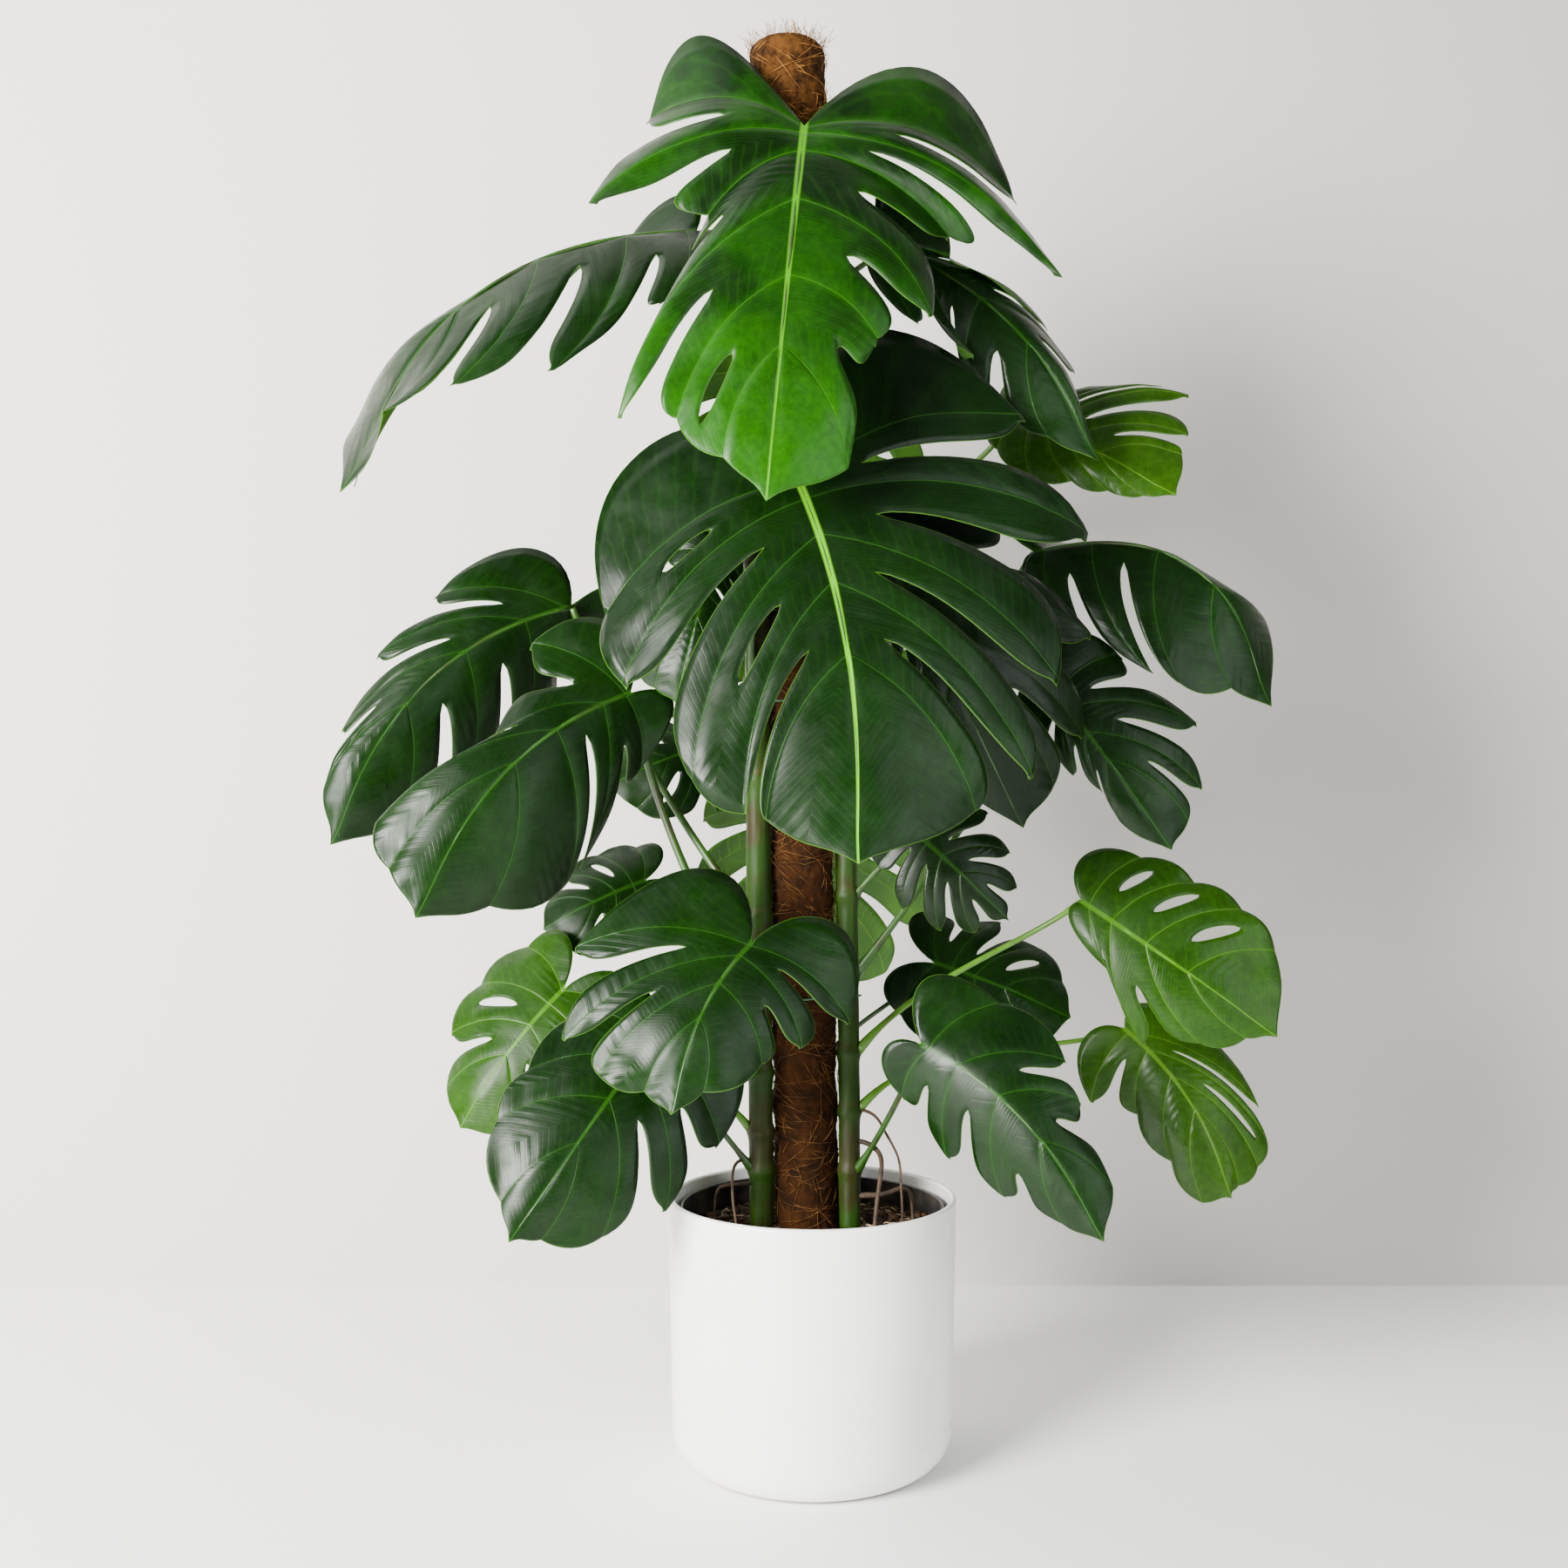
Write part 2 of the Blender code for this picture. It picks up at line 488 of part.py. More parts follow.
def add_soil():
    """The root ball: it fills the grow pot and has a bore for the stake."""
    foot = POT_RADIUS - POT_TAPER - POT_CORNER - GROW_POT_WALL - TOUCH_GAP * 2
    shoulder = POT_FLOOR + POT_CORNER + TOUCH_GAP * 2
    side = grow_pot_radius() - GROW_POT_WALL - TOUCH_GAP
    bottom = grow_pot_floor() + GROW_POT_WALL + TOUCH_GAP
    top = soil_top()
    bore = STAKE_RADIUS + TOUCH_GAP
    bore_end = top - STAKE_DEPTH - TOUCH_GAP
    profile = [(0, bore_end), (bore, bore_end), (bore, top),
               (side * SOIL_FLAT_SHARE, top), (side, top - SOIL_CROWN),
               (side, shoulder), (foot, bottom), (0, bottom)]
    soil = add_turned("soil", profile, SOIL_SIDES, "soil")
    shift_bore(keep_turned(soil), bore)


def shift_bore(mesh, bore):
    """The stake stands a little beside the pot's axis, so the bore's points move there."""
    for vertex in mesh.vertices:
        above_floor = vertex.co.z > POT_FLOOR + POT_CORNER
        if above_floor and math.hypot(vertex.co.x, vertex.co.y) < (bore + STAKE_RADIUS) / 2 + TOUCH_GAP:
            vertex.co.x += POLE_FOOT_X


def add_stake():
    """The stake in the pole: upright in the soil, then leaning with the coir."""
    work = bmesh.new()
    foot = Vector((POLE_FOOT_X, 0, soil_top() - STAKE_DEPTH))
    top = pole_axis(pole_top() - COIR_TOP_RADIUS / 2)
    add_tube(work, [foot, pole_axis(soil_top()), top], STAKE_RADIUS, STAKE_SIDES)
    mesh = bpy.data.meshes.new("stake")
    work.to_mesh(mesh)
    work.free()
    add_object("stake", mesh, "stake")


def add_tube(work, places, radius, sides):
    """A straight tube with flat level ends through places on its axis."""
    ring = bmesh.ops.create_circle(work, cap_ends=True, segments=sides, radius=radius,
                                   matrix=Matrix.Translation(places[0]))
    faces = list({face for vertex in ring["verts"] for face in vertex.link_faces})
    bmesh.ops.reverse_faces(work, faces=faces)
    edges = list({edge for face in faces for edge in face.edges})
    for start, end in zip(places, places[1:]):
        grown = bmesh.ops.extrude_edge_only(work, edges=edges)["geom"]
        edges = [item for item in grown if isinstance(item, bmesh.types.BMEdge)
                 and all(vertex in grown for vertex in item.verts)]
        vertices = [item for item in grown if isinstance(item, bmesh.types.BMVert)]
        bmesh.ops.translate(work, verts=vertices, vec=end - start)
    bmesh.ops.contextual_create(work, geom=edges)
    bmesh.ops.recalc_face_normals(work, faces=work.faces)


def add_coir():
    """The coir wrap round the stake, closed and wider at the top."""
    bottom = soil_top() + TOUCH_GAP
    bore = STAKE_RADIUS + TOUCH_GAP
    stake_end = pole_top() - COIR_TOP_RADIUS / 2 + TOUCH_GAP
    flare = pole_top() - COIR_TOP_LENGTH
    profile = [(0, pole_top())]
    profile += [(COIR_TOP_RADIUS - inset, pole_top() - drop) for inset, drop in reversed(COIR_CROWN)]
    profile += [(COIR_TOP_RADIUS, flare + COIR_TOP_LENGTH * COIR_FLARE_SHARE), (COIR_RADIUS, flare),
                (COIR_RADIUS, bottom), (bore, bottom), (bore, stake_end), (0, stake_end)]
    coir = add_turned("coir_pole", profile, COIR_SIDES, "coir")
    lean = Matrix.Identity(4)
    lean[0][2] = POLE_LEAN_X / POLE_LENGTH
    lean[0][3] = POLE_FOOT_X - lean[0][2] * soil_top()
    keep_turned(coir).transform(lean)


def coir_radius(z):
    flare = pole_top() - COIR_TOP_LENGTH
    share = min(max((z - flare) / (COIR_TOP_LENGTH * COIR_FLARE_SHARE), 0), 1)
    return COIR_RADIUS + (COIR_TOP_RADIUS - COIR_RADIUS) * share


def vine_centre(name, z):
    """The middle of a vine at a level. It lies against the coir all the way."""
    vine = VINES[name]
    share = (z - soil_top()) / (level(vine["top"]) - soil_top())
    angle = math.radians(vine["angle"] + vine["turn"] * share)
    distance = coir_radius(z) + TOUCH_GAP + vine["radius"]
    return pole_axis(z) + Vector((math.cos(angle), math.sin(angle), 0)) * distance


def add_rod(name, points, radius, resolution, colour, cyclic=False):
    """A round rod along points, as a curve with filled ends."""
    curve = bpy.data.curves.new(name, "CURVE")
    curve.dimensions = "3D"
    curve.bevel_depth = radius
    curve.bevel_resolution = resolution
    curve.use_fill_caps = not cyclic
    spline = curve.splines.new("POLY")
    spline.points.add(len(points) - 1)
    for index, point in enumerate(points):
        spline.points[index].co = (*point, 1)
    spline.use_cyclic_u = cyclic
    add_object(name, curve, colour)


def add_vines():
    foot = soil_top() + TOUCH_GAP
    for name, vine in VINES.items():
        top = level(vine["top"])
        steps = round((top - foot) / VINE_STEP)
        levels = [foot + (top - foot) * step / steps for step in range(steps + 1)]
        add_rod(name, [vine_centre(name, z) for z in levels], vine["radius"], VINE_RESOLUTION, "vine")


def add_ties():
    """Each tie is a closed loop drawn tight round the pole and the vines beside it."""
    slack = TOUCH_GAP * 2 + TIE_RADIUS
    for name, height in TIE_HEIGHTS.items():
        z = level(height)
        rounds = [(pole_axis(z), coir_radius(z))]
        rounds += [(vine_centre(vine, z), size["radius"]) for vine, size in VINES.items()
                   if size["top"] > height]
        points = []
        for step in range(TIE_STEPS):
            angle = 2 * math.pi * step / TIE_STEPS
            way = Vector((math.cos(angle), math.sin(angle), 0))
            centre, radius = max(rounds, key=lambda item: item[0].dot(way) + item[1])
            points.append(centre + way * (radius + slack))
        add_rod(name, points, TIE_RADIUS, TIE_RESOLUTION, "tie", cyclic=True)


def bezier(a, b, c, share):
    """Point of the curve from a to c that b pulls to itself."""
    rest = 1 - share
    return a * (rest * rest) + b * (2 * rest * share) + c * (share * share)


def bezier4(a, b, c, d, share):
    """Point of the curve from a to d with two pulls."""
    return bezier(a, b, c, share) * (1 - share) + bezier(b, c, d, share) * share


class Blade:
    """One leaf blade as a surface, worked out from its outline and its pose."""

    def __init__(self, pose):
        self.base = plant_point(pose["base"])
        along = plant_point(pose["tip"]) - self.base
        self.length = along.length
        along.normalize()
        face = Vector(pose["face"])
        self.normal = (face - along * face.dot(along)).normalized()
        across = self.normal.cross(along)
        self.frame = Matrix((across, along, self.normal)).transposed()
        shape = OUTLINES[pose["outline"]]
        self.roots = shape["roots"]
        self.bow = pose["bow"]
        self.rows = pose.get("rows", BLADE_ROWS)
        self.sway = pose.get("sway", 0)
        self.sides = {}
        for sign, name, droop in ((-1, "left", pose["droop"][0]), (1, "right", pose["droop"][1])):
            self.sides[sign] = self.side_of(shape, name, sign, droop)

    def midrib(self, share):
        middle = Vector((2 * self.sway, 0.5, 2 * self.bow))
        return bezier(Vector((0, 0, 0)), middle, Vector((0, 1, 0)), share)

    def side_of(self, shape, name, sign, droop):
        """One side's veins as (start, pull, end) points, its slots and its first edge."""
        veins = []
        for root, lobe in zip(self.roots, shape[name]):
            start = self.midrib(root)
            lift = lobe[2] if len(lobe) > 2 else 0
            depth = lift - droop * lobe[0] + self.midrib(max(0, lobe[1])).z
            end = Vector((sign * lobe[0], lobe[1], depth))
            veins.append((start, self.pull(start, end, sign), end))
        ear = [Vector((sign * x, y, -droop * x * EAR_DROOP)) for x, y in shape[name + "_ear"]]
        edge = (self.midrib(0), ear[0], ear[1], veins[0][2])
        return {"veins": veins, "slots": shape[name + "_slots"], "edge": edge}

    def pull(self, start, end, sign):
        chord = end - start
        back = Vector((sign * chord.y, -sign * chord.x, 0))
        return (start + end) / 2 + back * VEIN_BEND + Vector((0, 0, VEIN_ARCH * chord.length))

    def vein(self, sign, index, share):
        """A point along a side vein, or along the end of the midrib after the last one."""
        veins = self.sides[sign]["veins"]
        if index < len(veins):
            return bezier(*veins[index], share)
        start = self.roots[-1]
        return self.midrib(start + (1 - start) * share)

    def border(self, sign, index, share):
        """A point on the line where two lobes meet. Border -1 is the edge from the stalk."""
        if index < 0:
            return bezier4(*self.sides[sign]["edge"], share)
        return (self.vein(sign, index, share) + self.vein(sign, index + 1, share)) / 2

    def slot(self, sign, index):
        """The slot on a border. A window needs four rows, so a blade of three rows goes without."""
        slots = self.sides[sign]["slots"]
        slot = slots[index] if 0 <= index < len(slots) else None
        return None if slot and slot[1] < 1 and self.rows < 4 else slot

    def point(self, sign, index, across, row):
        """A mesh point's place: across from -1 to 1 over the lobe, row from 0 to 1 along it."""
        side = -1 if across < 0 else 1
        border = index - 1 if side < 0 else index
        near = self.slot(sign, border)
        other = self.slot(sign, index if side < 0 else index - 1)
        edge_share = row_share(near, row, self.rows)
        middle_share = (edge_share + row_share(other, row, self.rows)) / 2
        depth = abs(across)
        share = middle_share + (edge_share - middle_share) * depth
        reach = lobe_width(near, edge_share, side)
        middle = self.vein(sign, index, share)
        edge = self.border(sign, border, share)
        return middle + (edge - middle) * (depth * reach)

    def place(self, local):
        return self.base + self.frame @ (local * self.length)


def row_share(slot, row, rows):
    """How far along its vein a row lies: at the root, at the slot's start, along the slot or at the rim."""
    start, end = (WHOLE_START, 1) if slot is None else slot
    if end < 1:
        marks = (0, start, (start + end) / 2, end, 1)
    else:
        inner = SLOT_ROWS_OF_FOUR if rows == 4 else SLOT_ROWS_OF_THREE
        marks = (0, start, *(start + share * (1 - start) for share in inner), 1)
    return marks[round(row * rows)]


def lobe_width(slot, share, side):
    """How much of its half-width a lobe keeps beside a slot. It ends in a point on the side of the tip."""
    if slot is None:
        return 1.0
    start, end = slot
    inside = min(max((share - start) / (end - start), 0), 1)
    if end < 1:
        return 1 - SLOT_NARROWING * math.sqrt(max(0, math.sin(math.pi * inside)))
    if side < 0:
        taper = math.sqrt(1 - inside ** LOBE_FRONT_TAPER)
    else:
        taper = 1 - inside ** LOBE_BACK_TAPER
    narrowing = SLOT_NARROWING * math.sqrt(inside) * (1 - SLOT_CLOSING * inside)
    return max(LOBE_END_WIDTH, taper * (1 - narrowing))


def blade_mesh(blade):
    """The blade's surface: one grid for each lobe, welded along the midrib and where no slot parts them."""
    work = bmesh.new()
    lobes = len(blade.roots) + 1
    for sign in (-1, 1):
        for index in range(lobes):
            last = index == lobes - 1
            grid = bmesh.ops.create_grid(work, x_segments=1 if last else 2, y_segments=blade.rows, size=0.5)
            for vertex in grid["verts"]:
                across = (vertex.co.x - 0.5) if last else 2 * vertex.co.x
                vertex.co = blade.place(blade.point(sign, index, across, vertex.co.y + 0.5))
            if sign > 0:
                faces = {face for vertex in grid["verts"] for face in vertex.link_faces}
                bmesh.ops.reverse_faces(work, faces=list(faces))
    bmesh.ops.remove_doubles(work, verts=work.verts, dist=MERGE_DISTANCE)
    bmesh.ops.dissolve_degenerate(work, edges=work.edges, dist=MERGE_DISTANCE)
    return work


def stalk_route(blade, surface, pose):
    """Points from the vine to the blade's base, worked out so that both ends just clear what they meet."""
    radius = pose["stalk"]
    vine_radius = VINES[pose["vine"]]["radius"]
    z = level(pose["height"])
    centre = vine_centre(pose["vine"], z)
    towards = blade.base - centre
    outward = centre - pole_axis(z)
    outward.z = 0
    sideways = Vector((towards.x, towards.y, 0)).normalized()
    outward = (outward.normalized() + sideways).normalized()
    leave = (outward + Vector((0, 0, STALK_START_UPWARD))).normalized()
    arrive = (towards.normalized() * STALK_AIM + blade.normal).normalized()
    wanted = BLADE_THICKNESS / 2 + STALK_END_GAP
    tree = BVHTree.FromBMesh(surface)
    start = centre + outward * (vine_radius + radius)
    back = radius + wanted
    for _ in range(SEATING_STEPS):
        end = blade.base - arrive * back
        reach = (end - start).length * STALK_REACH
        pulls = (start + leave * reach, end - arrive * reach)
        last = STALK_POINTS - 1
        points = [bezier4(start, *pulls, end, step / last) for step in range(STALK_POINTS)]
        first = (points[1] - points[0]).normalized()
        tilt = math.sqrt(max(0, 1 - first.dot(outward) ** 2))
        start = centre + outward * (vine_radius + STALK_START_GAP + radius * tilt)
        back += (wanted - end_clearance(tree, points, radius)) * SEATING_SHARE
    return points


def end_clearance(tree, points, radius):
    """The least distance from the last stretch of a stalk to the middle of the blade's thickness."""
    way = (points[-1] - points[-2]).normalized()
    side = way.orthogonal().normalized()
    other = way.cross(side)
    nearest = tree.find_nearest(points[-1])[3]
    for ring in range(SEATING_RINGS):
        for step in range(SEATING_POINTS):
            angle = 2 * math.pi * step / SEATING_POINTS
            rim = (side * math.cos(angle) + other * math.sin(angle)) * radius
            nearest = min(nearest, tree.find_nearest(points[-1] - way * radius * ring + rim)[3])
    return nearest


def add_leaves():
    for name, pose in LEAVES.items():
        blade = Blade(pose)
        surface = blade_mesh(blade)
        route = stalk_route(blade, surface, pose)
        mesh = bpy.data.meshes.new(name)
        surface.to_mesh(mesh)
        surface.free()
        leaf = add_object("blade_" + name, mesh, "leaf")
        wall = leaf.modifiers.new("thickness", "SOLIDIFY")
        wall.thickness = BLADE_THICKNESS
        wall.offset = 0
        add_rod("stalk_" + name, route, pose["stalk"], STALK_RESOLUTION, "stalk")


def add_air_roots():
    for name, root in AIR_ROOTS.items():
        z = level(root["height"])
        centre = vine_centre(root["vine"], z)
        end = Vector((*root["end"], soil_top() + TOUCH_GAP + AIR_ROOT_RADIUS))
        outward = (centre - pole_axis(z)).normalized()
        start = centre + outward * (VINES[root["vine"]]["radius"] + TOUCH_GAP + AIR_ROOT_START_TILT)
        pulls = (start + outward * AIR_ROOT_START_REACH, end + Vector((0, 0, AIR_ROOT_END_REACH)))
        last = AIR_ROOT_POINTS - 1
        points = [bezier4(start, *pulls, end, step / last) for step in range(AIR_ROOT_POINTS)]
        add_rod(name, points, AIR_ROOT_RADIUS, AIR_ROOT_RESOLUTION, "root")


def main():
    clear_scene()
    add_cover_pot()
    add_grow_pot()
    add_soil()
    add_stake()
    add_coir()
    add_vines()
    add_ties()
    add_leaves()
    add_air_roots()


main()
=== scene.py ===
import math
import random

import bmesh
import bpy
from mathutils import Matrix, Vector, noise


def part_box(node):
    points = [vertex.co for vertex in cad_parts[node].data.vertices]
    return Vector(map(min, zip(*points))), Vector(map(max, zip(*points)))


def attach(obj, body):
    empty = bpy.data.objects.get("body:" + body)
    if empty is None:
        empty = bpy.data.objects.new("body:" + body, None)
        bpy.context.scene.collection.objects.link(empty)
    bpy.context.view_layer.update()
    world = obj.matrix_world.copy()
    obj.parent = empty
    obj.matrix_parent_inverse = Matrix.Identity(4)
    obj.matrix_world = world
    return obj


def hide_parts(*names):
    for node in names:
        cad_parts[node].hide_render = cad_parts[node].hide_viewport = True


# without a seed, noise vectors would differ from run to run
noise.seed_set(7)
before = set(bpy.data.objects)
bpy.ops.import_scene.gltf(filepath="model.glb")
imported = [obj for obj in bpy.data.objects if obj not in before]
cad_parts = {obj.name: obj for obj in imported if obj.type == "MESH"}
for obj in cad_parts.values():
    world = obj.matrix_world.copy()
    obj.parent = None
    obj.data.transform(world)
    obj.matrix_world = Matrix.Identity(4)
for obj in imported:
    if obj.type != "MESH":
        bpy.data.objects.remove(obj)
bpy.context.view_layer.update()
print("frame loaded")


# mesh helpers

def finishPiece(name, bm, materials, nodes):
    mesh = bpy.data.meshes.new(name)
    bm.to_mesh(mesh)
    bm.free()
    return placePiece(name, mesh, materials, nodes)


def placePiece(name, mesh, materials, nodes):
    mesh.shade_smooth()
    mesh.materials.clear()
    for material in materials:
        mesh.materials.append(material)
    piece = bpy.data.objects.new(name, mesh)
    bpy.context.scene.collection.objects.link(piece)
    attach(piece, "root")
    if nodes:
        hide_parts(*nodes)
    return piece


def wrapGrid(bm, rings, sides, place):
    # a grid rolled into a tube; place(turn, share) gives each point its place
    grid = bmesh.ops.create_grid(bm, x_segments=sides, y_segments=rings, size=0.5)
    for vertex in grid["verts"]:
        vertex.co = place(vertex.co.x + 0.5, vertex.co.y + 0.5)
    bmesh.ops.remove_doubles(bm, verts=grid["verts"], dist=0.00002)
    return grid


def roundWay(angle):
    return Vector((math.cos(angle), math.sin(angle), 0))


def routeFrames(route):
    # each point of a route with two directions across it
    side = (route[1] - route[0]).orthogonal().normalized()
    frames = []
    for index, point in enumerate(route):
        before = route[max(index - 1, 0)]
        after = route[min(index + 1, len(route) - 1)]
        way = (after - before).normalized()
        side = (side - way * side.dot(way)).normalized()
        frames.append((point, side, way.cross(side)))
    return frames


def tubeAlong(bm, route, radii, sides, rough=0.0, seed=0.0):
    # a round tube along a route, closed to a point at both ends
    frames = routeFrames(route)
    frames = [frames[0], *frames, frames[-1]]
    radii = [0.0, *radii, 0.0]
    last = len(frames) - 1

    def place(turn, share):
        index = round(share * last)
        point, side, other = frames[index]
        angle = 2 * math.pi * turn
        radius = radii[index]
        if rough and radius:
            radius *= 1 + rough * noise.noise(roundWay(angle) * 1.5 + point * 60 + Vector((seed, 0, 0)))
        return point + (side * math.cos(angle) + other * math.sin(angle)) * radius

    wrapGrid(bm, last, sides, place)


def bezier(a, b, c, share):
    rest = 1 - share
    return a * (rest * rest) + b * (2 * rest * share) + c * (share * share)


def bezier4(a, b, c, d, share):
    return bezier(a, b, c, share) * (1 - share) + bezier(b, c, d, share) * share


def between(low, high, value):
    return min(max((value - low) / (high - low), 0), 1)


def smoothStep(low, high, value):
    share = between(low, high, value)
    return share * share * (3 - 2 * share)


def strandMesh(name, routes, radius, tipShare=0.3):
    # many thin strands as one mesh, each thinner at its ends
    curve = bpy.data.curves.new(name, "CURVE")
    curve.dimensions = "3D"
    curve.bevel_depth = radius
    curve.bevel_resolution = 0
    curve.use_fill_caps = True
    for route in routes:
        spline = curve.splines.new("POLY")
        spline.points.add(len(route) - 1)
        last = len(route) - 1
        for index, point in enumerate(route):
            spline.points[index].co = (*point, 1)
            spline.points[index].radius = tipShare if index in (0, last) else 1
    holder = bpy.data.objects.new(name, curve)
    bpy.context.scene.collection.objects.link(holder)
    made = holder.evaluated_get(bpy.context.evaluated_depsgraph_get())
    mesh = bpy.data.meshes.new_from_object(made)
    bpy.data.objects.remove(holder)
    bpy.data.curves.remove(curve)
    bm = bmesh.new()
    bm.from_mesh(mesh)
    bmesh.ops.remove_doubles(bm, verts=bm.verts, dist=0.000005)
    bm.to_mesh(mesh)
    bm.free()
    return mesh


# finish helpers

class Finish:
    # a material, with short calls that add nodes to it; colour is what has been laid so far

    def __init__(self, name):
        self.material = bpy.data.materials.new(name)
        self.material.use_nodes = True
        self.tree = self.material.node_tree
        self.shader = self.tree.nodes["Principled BSDF"]
        self.colour = None

    def feed(self, node, values):
        for key, value in values.items():
            socket = node.inputs[key]
            if isinstance(value, bpy.types.NodeSocket):
                self.tree.links.new(value, socket)
            else:
                socket.default_value = (*value, 1) if socket.type == "RGBA" else value

    def put(self, kind, values=None, **settings):
        made = self.tree.nodes.new("ShaderNode" + kind)
        for key, value in settings.items():
            setattr(made, key, value)
        self.feed(made, values or {})
        return made

    def place(self):
        return self.put("TexCoord").outputs["Object"]

    def attribute(self, name, output="Vector"):
        return self.put("Attribute", attribute_name=name).outputs[output]

    def split(self, vector):
        return self.put("SeparateXYZ", {0: vector}).outputs

    def noise(self, where, scale, detail=4.0, rough=0.55):
        values = {"Vector": where, "Scale": scale, "Detail": detail, "Roughness": rough}
        return self.put("TexNoise", values).outputs["Fac"]

    def streaks(self, where, scale, rough=0.55):
        stretched = self.put("Mapping", {"Vector": where, "Scale": scale}).outputs["Vector"]
        return self.noise(stretched, 1.0, 4.0, rough)

    def ramp(self, value, low, high, start=0.0, end=1.0):
        values = {"Value": value, "From Min": low, "From Max": high, "To Min": start, "To Max": end}
        return self.put("MapRange", values, interpolation_type="SMOOTHSTEP").outputs["Result"]

    def cloud(self, where, scale, detail, low, high, start=0.0, end=1.0):
        return self.ramp(self.noise(where, scale, detail), low, high, start, end)

    def sums(self, operation, first, second=0.0):
        return self.put("Math", {0: first, 1: second}, operation=operation).outputs[0]

    def plus(self, first, second):
        return self.sums("ADD", first, second)

    def times(self, first, second):
        return self.sums("MULTIPLY", first, second)

    def blend(self, share, first, second, way="MIX"):
        made = self.put("Mix", data_type="RGBA", blend_type=way)
        self.feed(made, {0: share, 6: first, 7: second})
        return made.outputs[2]

    def lay(self, second, share, amount=None):
        # another colour over the one so far
        if amount is not None:
            share = self.times(share, amount)
        self.colour = self.blend(share, self.colour, second)

    def shade(self, grey):
        grey = self.put("CombineXYZ", {0: grey, 1: grey, 2: grey}).outputs[0]
        self.colour = self.blend(1.0, self.colour, grey, "MULTIPLY")

    def done(self, roughness, specular=None, bump=None):
        # bump is a height, a strength and a distance
        self.feed(self.shader, {"Base Color": self.colour, "Roughness": roughness})
        if specular is not None:
            self.feed(self.shader, {"Specular IOR Level": specular})
        if bump:
            made = self.put("Bump", dict(zip(("Height", "Strength", "Distance"), bump)))
            self.feed(self.shader, {"Normal": made.outputs["Normal"]})
        return self.material


def mottledFinish(name, cloud, first, second, roughness, bump=()):
    # one colour clouded with another; the bump, if there is one, follows the clouds
    finish = Finish(name)
    share = finish.cloud(finish.place(), *cloud)
    finish.colour = finish.blend(share, first, second)
    return finish.done(roughness, None, (share, *bump) if bump else None)


# plant layout, shared by the pole, vines and leaves

potLow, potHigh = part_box("cover_pot")
soilLow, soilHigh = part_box("soil")
soilTop = soilHigh.z
layout = {
    "poleFootX": -0.005,
    "poleLeanX": -0.021,
    "coirRadius": 0.0355,
    "coirTopRadius": 0.0415,
    "coirTopLength": 0.120,
    "touchGap": 0.0004,
}
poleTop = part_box("coir_pole")[1].z
poleLength = poleTop - soilTop
vines = {
    "vine_left": {"angle": 196, "turn": 22, "top": 0.818, "radius": 0.0125},
    "vine_right": {"angle": -22, "turn": 30, "top": 0.688, "radius": 0.0110},
    "vine_back": {"angle": 88, "turn": -20, "top": 1.118, "radius": 0.0115},
}


def poleAxis(z):
    return Vector((layout["poleFootX"] + layout["poleLeanX"] * (z - soilTop) / poleLength, 0, z))


def coirRadiusAt(z):
    flare = poleTop - layout["coirTopLength"]
    share = between(flare, flare + layout["coirTopLength"] * 0.4, z)
    return layout["coirRadius"] + (layout["coirTopRadius"] - layout["coirRadius"]) * share


def vineCentre(name, z):
    vine = vines[name]
    angle = math.radians(vine["angle"] + vine["turn"] * (z - soilTop) / vine["top"])
    distance = coirRadiusAt(z) + layout["touchGap"] + vine["radius"]
    return poleAxis(z) + roundWay(angle) * distance


# leaf outlines, as shares of the length from stalk to tip
# roots: where the side veins leave the midrib
# left, right: where each side vein ends, as across and along, then how far it is lifted and arched
# slots: the cut beyond each vein, as its start on an open slot, or as start and end on a closed one
# ears: two pulls of the curve from the stalk round the first lobe

